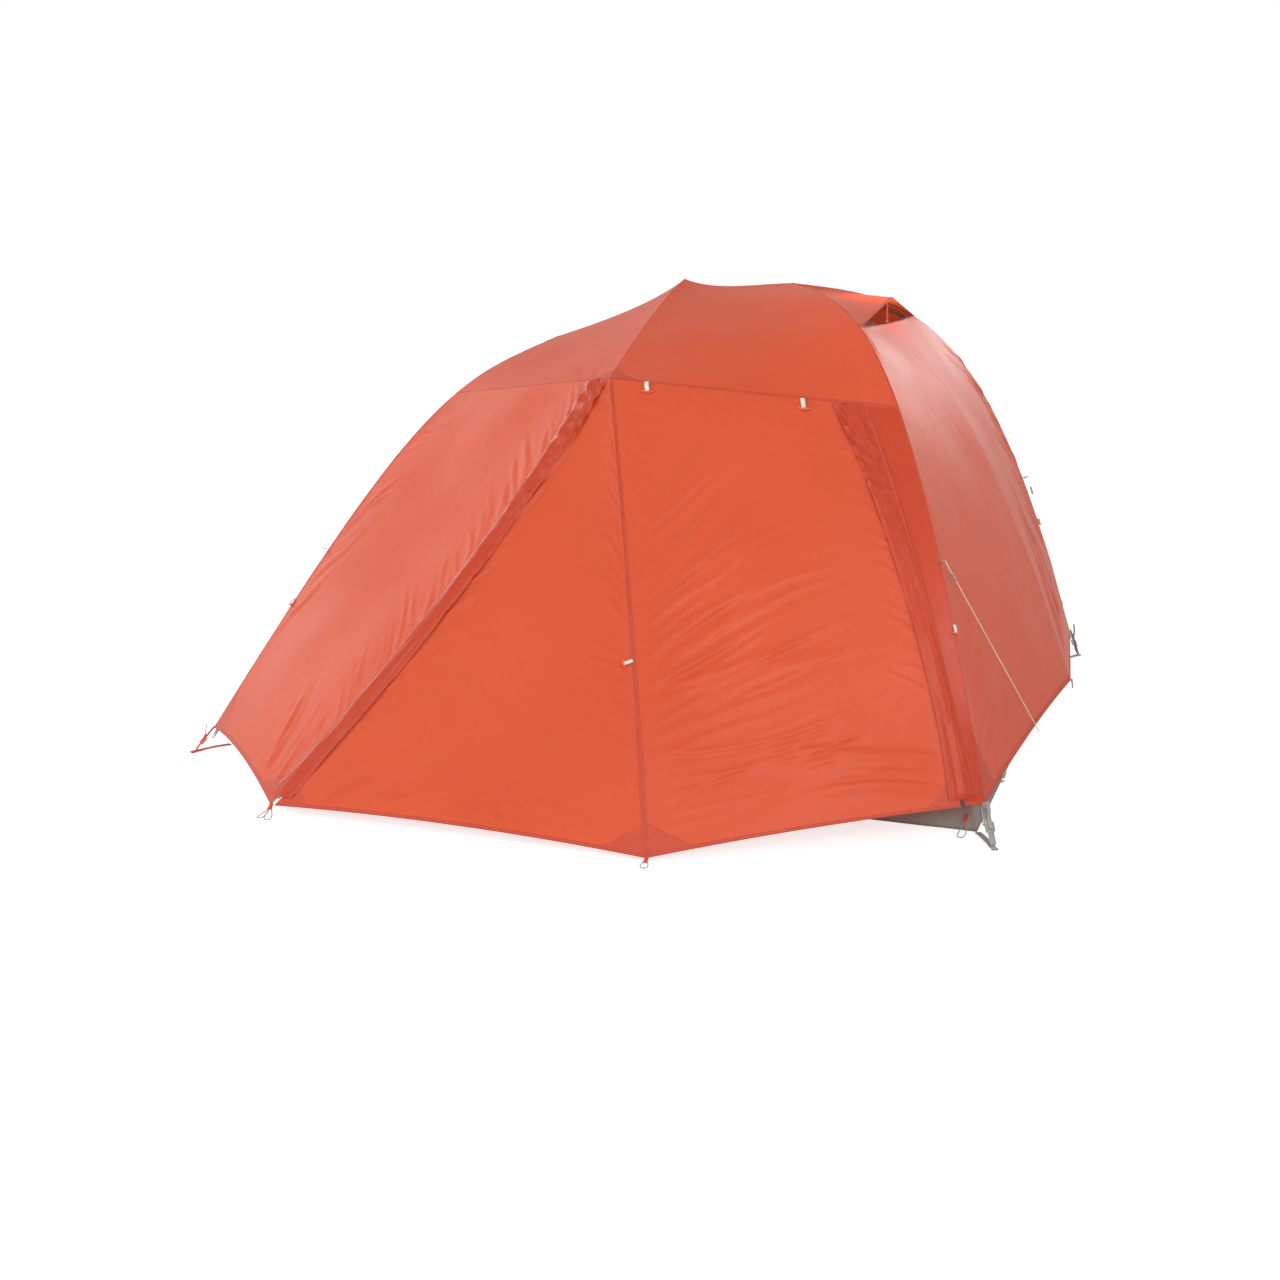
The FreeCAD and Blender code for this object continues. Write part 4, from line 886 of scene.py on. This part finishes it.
def corner_webbing(end, material, tail_curl):
    c = corners[end]
    at = lambda along, lift=0.0, aside=0.0: (c["top"] + c["direction"] * along
                                             + c["out"] * lift + c["across"] * aside)
    n = c["length"]
    cloth = Cloth(f"corner_webbing_{end}_straps")

    def add(flip):
        strap = np.linspace(-0.012, n - 0.006, 24)
        sway = np.sin(strap / n * math.pi) * 0.0008
        sweep(cloth, flip(np.array([at(s, w) for s, w in zip(strap, sway)])), WEBBING,
              flip(c["out"]))
        tail = [at(n * 0.54, 0.0034), at(n * 0.42, 0.0042), at(n * 0.28, 0.007, 0.003),
                *(at(n * a, b, s) for a, b, s in tail_curl)]
        tail_path = through(tail, 7)
        sweep(cloth, flip(tail_path), section(WEB_WIDTH * 0.72, WEB_THICK, 6.0), flip(c["out"]),
              sizes=np.linspace(1, 0.86, len(tail_path)))
        for k in range(3):
            stitch = at(0.004 + k * 0.005, 0.0011)
            sweep(cloth, flip(np.array([stitch - c["across"] * 0.008, stitch
                                        + c["across"] * 0.008])),
                  section(0.0012, 0.0007), flip(c["out"]), mark=1)
    both(add)
    return cloth.build([material, THREAD], "tent", (f"corner_webbing_{end}",))


corner_webbing("right", GREY_WEB, ((0.10, 0.022, 0.009), (-0.10, 0.034, 0.018)))
corner_webbing("left", ORANGE_WEB, ((0.14, 0.016, -0.004), (-0.02, 0.026, -0.012)))


def ladder_buckle(end, material):
    """Ladder-lock: two rounded rails and three bars, the webbing woven between them."""
    c = corners[end]
    for back, side in ((False, "front"), (True, "back")):
        cloth = Cloth(f"buckle_{side}_{end}_frame")
        place = lambda along, aside, lift: (c["middle"] + c["direction"] * along
                                            + c["across"] * aside + c["out"] * lift)
        for sign in (-1, 1):
            rail = [place(a, sign * (0.0127 - 0.0012 * abs(a) / 0.0145), 0)
                    for a in np.linspace(-0.0115, 0.0115, 9)]
            sweep(cloth, rail, section(0.0036, 0.0066, 3.2), c["out"])
        for along, lift, thick in ((-0.0115, 0.0034, 0.0034), (0.0, -0.0031, 0.0036),
                                   (0.0115, 0.0034, 0.0040)):
            bar = [place(along, a, lift + 0.0004 * math.cos(a / 0.0127 * 1.5))
                   for a in np.linspace(-0.0127, 0.0127, 9)]
            sweep(cloth, bar, section(thick, 0.0026, 3.0), c["out"])
        cloth.build([material], f"{side}_{end}_buckle",
                    (f"buckle_{side}_{end}",), back)


ladder_buckle("right", GREY_PLASTIC)
ladder_buckle("left", ORANGE_PLASTIC)

# straps from the tub's corners to the stake points, doubled over at their ends
STRAP_WIDTH = 0.017
cloth = Cloth("floor_corner_webbing")
for sign in (1, -1):
    start = TUB_CORNER * (sign, -1, 1)
    end_point = np.array((sign * 1.236, -1.114, 0.0))
    run = end_point - start
    path = [start + run * t + np.array((0, 0, 0.0016 + 0.0035 * math.sin(t * math.pi)))
            for t in np.linspace(0.02, 0.98, 12)]
    over = [path[-1] - unit(run) * s + np.array((0, 0, 0.0030)) for s in (0.0, 0.014, 0.030)]
    both(lambda flip: sweep(cloth, flip(np.array(path)), section(STRAP_WIDTH, 0.0018, 6.0), (0, 0, 1),
                            mark=0 if sign > 0 else 1))
    both(lambda flip: sweep(cloth, flip(np.array(over)), section(STRAP_WIDTH, 0.0018, 6.0), (0, 0, 1),
                            mark=0 if sign > 0 else 1))
cloth.build([GREY_WEB, ORANGE_WEB], "tent", ("floor_corner_straps",))


# ---------------------------------------------------------------- loops, tabs and toggles
def loop_path(start, direction, across, length, width, lift=0.0):
    """Teardrop loop of cord that starts and ends at one point."""
    t = np.linspace(0, 2 * math.pi, 40)
    reach = (1 - np.cos(t)) / 2
    wide = np.sin(t) * np.sqrt(reach) * width / 2
    start, direction, across = (np.asarray(a, float) for a in (start, direction, across))
    height = np.array((0, 0, 1.0)) * (lift * (1 - reach) ** 2)[:, None]
    return start + direction * (reach * length)[:, None] + across * wide[:, None] + height


cloth = Cloth("shock_cord_loops")
DOOR_LOOP = (DOOR_TIP, (0.1, -1.0), 0.034)
HEM_LOOPS = ((SIDE_TIP, (-0.55, -0.75), 0.040), (SIDE_TIP, (0.25, -1.0), 0.042),
             (np.array((TUB_CORNER[0] - 0.030, -TUB_CORNER[1] - 0.012, 0.046)), (-0.2, -1.0), 0.046))


def hem_loops(cloth, flip, loops):
    """Teardrop loops of shock cord from the hem's corners to the ground, each in a folded tab."""
    for root, heading, length in loops:
        heading = unit(np.array((*heading, 0.0)))
        aside = np.array((-heading[1], heading[0], 0.0))
        height = root[2] - 0.004
        path = loop_path((root[0], root[1], 0.0016), heading, aside, length, 0.026, lift=height)
        sweep(cloth, flip(path), CORD_SECTION, (0, 0, 1))
        tab = np.array((root[0], root[1], height)) + heading * 0.002
        slope = unit(heading + np.array((0, 0, -1.4 * height / length)))
        sweep(cloth, flip(np.array([tab + slope * s for s in (-0.010, -0.002, 0.008)])),
              section(0.010, 0.0050, 4.0), (0, 0, 1), mark=1)


both(lambda flip: hem_loops(cloth, flip, HEM_LOOPS))
for middle, lean in ((END_HEM_RIGHT + (0.004, 0, 0), 0.2), (END_HEM_LEFT - (0.004, 0, 0), -0.2)):
    down = unit((lean, 0, -1.0))
    sweep(cloth, loop_path(middle, down, (0, 1, 0), 0.024, 0.020), CORD_SECTION, (1, 0, 0))
    sweep(cloth, np.array([middle - down * 0.006, middle + down * 0.004]),
          section(0.012, 0.0045, 4.0), (1, 0, 0), mark=1)
cloth.build([SHOCK_CORD, ORANGE_WEB], "tent", ("stake_loops",))

# the loop at a door's tip is sewn to the door, so it lifts with it
for back, side in ((False, "front"), (True, "back")):
    cloth = Cloth(f"door_hem_loop_{side}")
    hem_loops(cloth, same, (DOOR_LOOP,))
    cloth.build([SHOCK_CORD, ORANGE_WEB], f"{side}_door", (), back)

HEM_CLIP = 0.19                 # place of the hem clip, as a share of the end hem's half
clip_at = end_right.bottom(HEM_CLIP / 2) + (0.002, 0, -0.001)
cloth = Cloth("hem_clips")


def hem_clips(flip):
    """Small hook on a webbing tab under the end hem, for a floor corner."""
    down, out = unit((-0.25, 0.15, -1.0)), -inward(clip_at)
    tab = [clip_at + down * k for k in (-0.004, 0.004, 0.012)]
    sweep(cloth, flip(np.array(tab)), section(0.012, 0.0026, 5.0), flip(out), mark=1)
    turn = np.linspace(-0.5, 4.1, 16)
    hook_side = unit(np.cross(down, out))
    hook = [tab[-1] + down * (0.007 - 0.0068 * math.cos(a)) + hook_side * (0.0068 * math.sin(a))
            for a in turn]
    sweep(cloth, flip(np.array(hook)), section(0.0040, 0.0052, 2.6), flip(out))


both(hem_clips)
cloth.build([GREY_PLASTIC, GREY_WEB], "tent")

guy_points = {"right": leg_right(LEG_T_GUY_RIGHT), "left": leg_left(LEG_T_GUY_LEFT)}
cloth = Cloth("guyout_loops")


def folded_tab(flip, at, along, reach, width, gap=0.0026, mark=0):
    """Loop of webbing sewn into a seam: out, round and back."""
    out = -inward(at)
    side = unit(np.cross(out, along))
    turn = [at + out * a + side * b for a, b in (
        (0.0006, -gap / 2), (reach * 0.55, -gap * 0.7), (reach * 0.9, -gap * 0.8),
        (reach, 0.0), (reach * 0.9, gap * 0.8), (reach * 0.55, gap * 0.7), (0.0006, gap / 2))]
    sweep(cloth, flip(through(turn, 6)), section(width, 0.0014, 6.0), flip(along), mark=mark)


def guy_tabs(flip):
    for at in guy_points.values():
        folded_tab(flip, at, np.array((0, 0, 1.0)), 0.019, 0.012)


both(guy_tabs)
cloth.build([GREY_WEB], "tent", ("guyout_tabs",))

def tie(cloth, flip, at, out, down, level, size=1.0):
    """Pale strap out of a seam with a curved crossbar at its end. Marks: 0 strap, 1 bar, 2 edge."""
    top = at + down * (0.006 * size) + out * 0.0052
    strap = [at + down * 0.001 + out * 0.0030, top, top + down * (0.014 * size) + out * 0.0012,
             top + down * (0.028 * size)]
    sweep(cloth, flip(through(strap, 6)), section(0.0125 * size, 0.0018, 6.0), flip(out))
    for aside in (-0.0066 * size, 0.0066 * size):
        edge = through([p + level * aside for p in strap], 6)
        sweep(cloth, flip(edge), section(0.0016, 0.0026), flip(out), mark=2)
    bend = np.linspace(-1, 1, 11)
    bar = [top + down * (0.0325 - 0.0040 * b * b) * size + level * b * (0.0175 * size)
           for b in bend]
    sweep(cloth, flip(np.array(bar)), section(0.0078 * size, 0.0066, 2.4), flip(out), mark=1,
          sizes=1 - 0.40 * np.abs(bend) ** 3)


TIE_LOOKS = [CORD, ORANGE_PLASTIC, GREY_WEB]
cloth = Cloth("leg_seam_toggles")


def leg_ties(flip):
    for leg, t in ((leg_right, LEG_T_TOGGLE_RIGHT), (leg_left, LEG_T_TOGGLE_LEFT)):
        at, along = leg(t), unit(leg(t - 0.01) - leg(t))
        out = -inward(at)
        tie(cloth, flip, at, out, along, unit(np.cross(along, out)), 0.62)


both(leg_ties)
cloth.build(TIE_LOOKS, "tent", ("leg_toggles",))


def roll_toggle(back, side, end, x):
    """Door tie on the top seam, holding a rolled-up door half."""
    at = on_seam(x)
    cloth = Cloth(f"door_tie_{side}_{end}")
    tie(cloth, same, at, -inward(at), door_down, unit(SEAM_RIGHT_END - np.array(BROW_END)))
    cloth.build(TIE_LOOKS, f"{side}_{end}_toggle",
                (f"door_toggle_{side}_{end}",), back)


for back, side in ((False, "front"), (True, "back")):
    for end, x in TOGGLE_X.items():
        roll_toggle(back, side, end, x)

# small tie on the doors' middle seam, part-way down, its bar hanging to the left
for back, side in ((False, "front"), (True, "back")):
    cloth = Cloth(f"door_seam_tie_{side}")
    at = middle_seam(0.62)
    out = -inward(at)
    aside = unit(door_down * 0.45 + np.array((-1.0, 0, 0)))
    tie(cloth, same, at, out, aside, unit(np.cross(aside, out)), 0.72)
    cloth.build(TIE_LOOKS, f"{side}_door", (), back)


# ---------------------------------------------------------------- zips and their sliders
cloth = Cloth("zip_tapes")
for panel, zip_line, side in ((side_panel, left_zip, "right"), (strip_panel, right_zip, "left")):
    zipper(cloth, zip_line, panel, side)
zip_points = len(cloth.points)
for k in range(zip_points):
    grid = mirror(cloth.grids[k])
    cloth.add(grid[:, ::-1], int(cloth.marks[k][0]), cloth.textures[k][:, ::-1])
cloth.build([ZIP_TAPE, ZIP_COIL], "tent", ("zip_chains",))


def zip_slider(back, side, end, zip_line):
    """Slider: a rounded body with its bridge and a tapered pull."""
    low, high = zip_line(1.0), zip_line(1 - 1 / 12)
    along, across = unit(high - low), unit(middle_seam(1.0) - low)
    out = -inward(low)
    centre = low + along * 0.062 + across * 0.004 + out * 0.0052
    at = lambda a, b=0.0, c=0.0: centre + along * a + across * b + out * c
    cloth = Cloth(f"zip_pull_{side}_{end}")
    body_run = np.linspace(-0.009, 0.009, 9)
    sweep(cloth, [at(a, 0, -0.0007) for a in body_run], section(0.0105, 0.0024, 3.5), out,
          sizes=0.80 + 0.20 * np.sin((body_run + 0.009) / 0.018 * math.pi * 0.75))
    sweep(cloth, through([at(-0.006, 0, 0.0004), at(-0.004, 0, 0.0016), at(0.003, 0, 0.0016),
                          at(0.005, 0, 0.0004)], 5), section(0.0026, 0.0010, 3.0), out)
    pull = np.linspace(-0.011, -0.034, 8)
    sweep(cloth, [at(a, 0, -0.0002) for a in pull], section(0.0052, 0.0016, 3.5), out,
          sizes=np.linspace(0.7, 1.0, 8))
    cloth.build([GREY_PLASTIC], f"{side}_{end}_zip_slider",
                (f"zip_slider_{side}_{end}",), back)


for back, side in ((False, "front"), (True, "back")):
    for end, zip_line in (("left", left_zip), ("right", right_zip)):
        zip_slider(back, side, end, zip_line)

# ---------------------------------------------------------------- vent strut
lip_middle = end_right.top(0.5)
strut_foot = lip_middle + (-0.006, 0, 0.005)
strut_head = VENT_PEAK + (-0.016, 0, -0.007)
cloth = Cloth("vent_prop_blade")
t = np.linspace(0, 1, 12)
sweep(cloth, strut_foot + (strut_head - strut_foot) * t[:, None], section(0.0155, 0.0021, 5.0),
      (1, 0, 0), sizes=1 - 0.25 * np.abs(2 * t - 1) ** 4)
sweep(cloth, np.array([strut_foot + (0.0, s, 0.0) for s in (-0.008, 0.0, 0.008)]),
      section(0.0042, 0.0042), (0, 0, 1), mark=1)
cloth.build([ORANGE_WEB, GREY_PLASTIC], "vent_prop", ("vent_strut",))

# ---------------------------------------------------------------- guylines and tensioners
hem_at = HEM_RIGHT + (END_HEM_RIGHT - HEM_RIGHT) * GUY_FOOT + (0, 0, END_HEM_LIFT)
guy_top = guy_points["right"] - inward(guy_points["right"]) * 0.024
guy_foot = hem_at + (0.016, -0.006, -0.006)
guy_run = unit(guy_foot - guy_top)
for back, side in ((False, "front"), (True, "back")):
    flip = mirror if back else same
    data = bpy.data.curves.new(f"guyline_{side}_cord", "CURVE")
    data.dimensions, data.bevel_depth, data.bevel_resolution = "3D", 0.0013, 3
    spline = data.splines.new("NURBS")
    length = float(np.linalg.norm(guy_foot - guy_top))
    path = [flip(guy_top + guy_run * s * length) for s in np.linspace(0, 1, 9)]
    spline.points.add(len(path) - 1)
    for p, place in zip(spline.points, path):
        p.co = (*place, 1)
    spline.order_u, spline.use_endpoint_u = 3, True
    data.materials.append(CORD)
    line_piece = bpy.data.objects.new(f"guyline_{side}_cord", data)
    bpy.context.collection.objects.link(line_piece)
    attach(line_piece, "tent")
    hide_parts(f"guyline_{side}")
    tuple(map(float, flip(guy_top)))
    # three-hole line tensioner round the cord
    cloth = Cloth(f"tensioner_{side}_runner")
    centre = guy_top + guy_run * 0.060
    around = np.linspace(0, 2 * math.pi, 17)
    side_way = unit(np.cross(guy_run, (0, 1, 0)))
    other_way = np.cross(guy_run, side_way)
    outline = ((0.0019, -0.0125), (0.0036, -0.0130), (0.0042, -0.0110), (0.0036, -0.0060),
               (0.0034, 0.0), (0.0036, 0.0060), (0.0042, 0.0110), (0.0036, 0.0130),
               (0.0019, 0.0125), (0.0019, -0.0125))
    grid = np.array([[centre + guy_run * z + (side_way * math.cos(a) + other_way * math.sin(a)) * r
                      for a in around] for r, z in outline])
    cloth.add(grid)
    cloth.build([GREY_PLASTIC], f"{side}_tensioner", (f"tensioner_{side}",), back)

# ---------------------------------------------------------------- inner tent
FLOOR_X, FLOOR_Y, TUB_HEIGHT, LEAN_X, LEAN_Y = 1.170, 0.990, 0.140, 0.046, 0.036
INNER_DEPTH = 0.078
INNER_PEAK, INNER_BROW = np.array((0, 0, 1.335)), np.array((0, -0.590, 1.065))
TUB_TOP = np.array((FLOOR_X - LEAN_X - 0.001, -(FLOOR_Y - LEAN_Y - 0.001), TUB_HEIGHT))
TUB_TOP_LEFT = TUB_TOP * (-1, 1, 1)
INNER_ROWS, INNER_COLUMNS = 8, 5


def inner_leg(leg, corner):
    def curve(t):
        t = np.asarray(t, float)
        point_ = leg(1 - 0.90 * t)
        sunk = point_ + inward(point_) * INNER_DEPTH
        pull = (np.clip((t - 0.72) / 0.28, 0, 1) ** 2)[..., None]
        return sunk * (1 - pull) + corner * pull
    return curve


def polyline(points):
    """Curve through points at equal steps of t, straight between them."""
    points = np.asarray(points, float)

    def curve(t):
        t = np.clip(np.asarray(t, float), 0, 1) * (len(points) - 1)
        k = np.minimum(t.astype(int), len(points) - 2)
        return points[k] + (points[k + 1] - points[k]) * (t - k)[..., None]
    return curve


tub_middle = np.array((0, TUB_TOP[1], TUB_HEIGHT))
middle_points = [INNER_PEAK + (INNER_BROW - INNER_PEAK) * k / 3 for k in range(3)] + [
    INNER_BROW + (tub_middle - INNER_BROW) * k / 5 for k in range(6)]
inner_middle = polyline(middle_points)
inner_right, inner_left = inner_leg(leg_right, TUB_TOP), inner_leg(leg_left, TUB_TOP_LEFT)
wall_left = Panel(line(inner_left(0.0), INNER_PEAK, 0.020), line(TUB_TOP_LEFT, tub_middle),
                  inner_left, inner_middle, cell=0.02)
wall_right = Panel(line(INNER_PEAK, inner_right(0.0), 0.008), line(tub_middle, TUB_TOP),
                   inner_middle, inner_right, cell=0.02)
inner_end_left = Panel(point(inner_left(0.0)), line(TUB_TOP_LEFT, mirror(TUB_TOP_LEFT)),
                       inner_left, mirrored(inner_left), sag=0.015, cell=0.02)
inner_end_right = Panel(point(inner_right(0.0)), line(TUB_TOP, mirror(TUB_TOP)),
                        inner_right, mirrored(inner_right), sag=0.015, cell=0.02)
for seed, panel in enumerate((wall_left, wall_right, inner_end_left, inner_end_right)):
    panel.relief = folds_relief(500 + seed * 5, rough=0.0008, broad=0.004)
DOOR_U, DOOR_V = (1 / INNER_COLUMNS, 4 / INNER_COLUMNS), (3 / INNER_ROWS, 7 / INNER_ROWS)
MESH_ABOVE = 0.62


def inner_cloth(cloth, panel, u_span, v_span, columns, rows):
    """Mesh above and cloth below, as two patches that share a seam."""
    low, high = v_span
    for a, b, mark in ((low, min(high, MESH_ABOVE), 0), (max(low, MESH_ABOVE), high, 1)):
        if b - a > 1e-6:
            share = max(3, int(rows * (b - a)))
            grid = np.meshgrid(np.linspace(*u_span, columns + 1), np.linspace(a, b, share + 1))
            cloth.add(panel.surface(*grid), mark)


for back, side in ((False, "front"), (True, "back")):
    cloth = Cloth(f"inner_wall_{side}_cloth")
    inner_cloth(cloth, wall_left, (0, 1), (0, 1), 50, 80)
    inner_cloth(cloth, wall_right, (0, 1), (0, DOOR_V[0]), 60, 80)
    inner_cloth(cloth, wall_right, (0, 1), (DOOR_V[1], 1), 60, 80)
    inner_cloth(cloth, wall_right, (0, DOOR_U[0]), DOOR_V, 14, 80)
    inner_cloth(cloth, wall_right, (DOOR_U[1], 1), DOOR_V, 14, 80)
    for panel, edge in ((wall_left, "bottom"), (wall_right, "bottom"), (wall_left, "right")):
        band(cloth, panel, edge, 0.010, 0.0008, mark=2)
    piece = cloth.build([NETTING, INNER, GREY_WEB], "tent",
                        (f"inner_wall_{side}",), back)
    whole = area_of(wall_left) + area_of(wall_right)
    hole = area_of(wall_right) * (DOOR_U[1] - DOOR_U[0]) * (DOOR_V[1] - DOOR_V[0])
    cloth = Cloth(f"inner_door_{side}_leaf")
    leaf_u = (DOOR_U[0] + 0.006, DOOR_U[1] - 0.006)
    leaf_v = (DOOR_V[0] + 0.005, DOOR_V[1] - 0.005)
    inner_cloth(cloth, wall_right, leaf_u, leaf_v, 40, 80)
    piece = cloth.build([NETTING, INNER], f"{side}_inner_door",
                        (f"inner_door_{side}",), back)
    leaf = wall_right.base(*np.meshgrid(np.linspace(*leaf_u, 20), np.linspace(*leaf_v, 20)))
    a, b = leaf[1:, 1:] - leaf[:-1, :-1], leaf[1:, :-1] - leaf[:-1, 1:]
    leaf_area = float(np.linalg.norm(np.cross(a, b), axis=-1).sum() / 2)
for name, panel in (("left", inner_end_left), ("right", inner_end_right)):
    cloth = Cloth(f"inner_end_{name}_cloth")
    inner_cloth(cloth, panel, (0, 1), (0, 1), 60, 70)
    piece = cloth.build([NETTING, INNER], "tent", (f"inner_end_{name}",))
    declare(panel)

# bathtub floor: one continuous sheet from its middle to the top of its walls
cloth = Cloth("inner_floor")
N_SIDE, N_IN, N_UP = 60, 34, 10
t = np.linspace(0, 1, N_SIDE, endpoint=False)
square = np.concatenate([np.stack([-1 + 2 * t, -1 + 0 * t], -1), np.stack([1 + 0 * t, -1 + 2 * t], -1),
                         np.stack([1 - 2 * t, 1 + 0 * t], -1), np.stack([-1 + 0 * t, 1 - 2 * t], -1)])
square = np.concatenate([square, square[:1]])
rows = []
for r in np.linspace(0.02, 1, N_IN):
    flat = square * (FLOOR_X - 0.002, FLOOR_Y - 0.002) * r
    spot = np.concatenate([flat, np.zeros((len(flat), 1))], 1)
    ripple = 0.0022 + 0.0014 * waves(70, spot, 0.16) + 0.0006 * waves(71, spot, 0.05)
    rows.append(np.concatenate([flat, np.maximum(ripple * min(1, (1 - r) * 8 + 0.3),
                                                 0.0008)[:, None]], 1))
for h in np.linspace(0, 1, N_UP + 1)[1:]:
    flat = square * (FLOOR_X - 0.002 - LEAN_X * h, FLOOR_Y - 0.002 - LEAN_Y * h)
    spot = np.concatenate([flat, np.full((len(flat), 1), h * TUB_HEIGHT)], 1)
    corner = np.clip((np.abs(square).min(1) - 0.86) / 0.14, 0, 1)
    bulge = (0.0030 * waves(72, spot, 0.12) + 0.0014 * waves(73, spot, 0.035)) * (1 - corner)
    bulge = bulge * math.sin(h * math.pi) ** 0.5 if h < 1 else bulge * 0
    out = unit(np.concatenate([square * (np.abs(square) >= 0.999), np.zeros((len(flat), 1))], 1))
    rows.append(spot - out * np.maximum(bulge, -0.002)[:, None])
grid = np.stack(rows)
cloth.add(grid)
floor_piece = cloth.build([FLOOR_CLOTH], "tent", ("floor_tub",))

# ---------------------------------------------------------------- floor, light and camera
floor_mesh = bpy.data.meshes.new("studio_floor")
floor_mesh.from_pydata([(-40, -40, 0), (40, -40, 0), (40, 40, 0), (-40, 40, 0)], [],
                       [(0, 1, 2, 3)])
studio_floor = bpy.data.objects.new("studio_floor", floor_mesh)
studio_floor.location.z = -0.0005
bpy.context.collection.objects.link(studio_floor)
floor_look = Shader("studio_floor")
floor_look.put(floor_look.main, "Base Color", (0.62, 0.62, 0.62, 1))
floor_look.main.inputs["Emission Color"].default_value = (1, 1, 1, 1)
shown = floor_look.node("ShaderNodeLightPath").outputs["Is Camera Ray"]
floor_look.put(floor_look.main, "Emission Strength", floor_look.math("MULTIPLY", shown, 0.72))
floor_look.put(floor_look.main, "Roughness", 0.9)
floor_mesh.materials.append(floor_look.material)

world = bpy.data.worlds.new("studio")
world.use_nodes = True
tree = world.node_tree
seen, lit = tree.nodes["Background"], tree.nodes.new("ShaderNodeBackground")
seen.inputs[0].default_value, seen.inputs[1].default_value = (1, 1, 1, 1), 1.0
lit.inputs[0].default_value, lit.inputs[1].default_value = (1, 1, 1, 1), 0.62
rays, chosen = tree.nodes.new("ShaderNodeLightPath"), tree.nodes.new("ShaderNodeMixShader")
tree.links.new(rays.outputs["Is Camera Ray"], chosen.inputs[0])
tree.links.new(lit.outputs[0], chosen.inputs[1])
tree.links.new(seen.outputs[0], chosen.inputs[2])
tree.links.new(chosen.outputs[0], tree.nodes["World Output"].inputs[0])
bpy.context.scene.world = world


def area_light(name, place, target, size, power, tint=(1, 1, 1)):
    data = bpy.data.lights.new(name, "AREA")
    data.shape, data.size, data.size_y, data.energy = "RECTANGLE", size[0], size[1], power
    data.color = tint
    lamp = bpy.data.objects.new(name, data)
    lamp.location = place
    aim = Vector(target) - Vector(place)
    lamp.rotation_euler = aim.to_track_quat("-Z", "Y").to_euler()
    bpy.context.collection.objects.link(lamp)


area_light("front_right", (3.5, -6.9, 3.8), (0.4, -0.6, 0.6), (4.5, 3.0), 285)
area_light("back_right", (2.4, 6.4, 3.0), (0.8, -0.3, 1.0), (2.2, 1.6), 105)
area_light("back_left", (-7.0, 2.6, 3.4), (-0.8, -0.6, 0.6), (5.0, 3.5), 175)
area_light("front_left", (-5.5, -4.5, 3.0), (-0.6, -0.6, 0.6), (4.0, 3.0), 130)

glow = bpy.data.lights.new("under_hood", "POINT")
glow.energy, glow.shadow_soft_size, glow.color = 1.3, 0.04, (1.0, 0.60, 0.45)
glow_lamp = bpy.data.objects.new("under_hood", glow)
glow_lamp.location = strut_foot + (-0.060, 0, 0.010)
bpy.context.collection.objects.link(glow_lamp)

camera_data = bpy.data.cameras.new("camera")
camera_data.sensor_width = 36.0
camera_data.lens = 46.55
camera = bpy.data.objects.new("camera", camera_data)
camera.location = (1.755, -5.251, 1.550)
camera.rotation_euler = (math.radians(90 - 13.6), 0, math.radians(20.0))
bpy.context.collection.objects.link(camera)
bpy.context.scene.camera = camera
bpy.context.scene.view_settings.view_transform = "Standard"
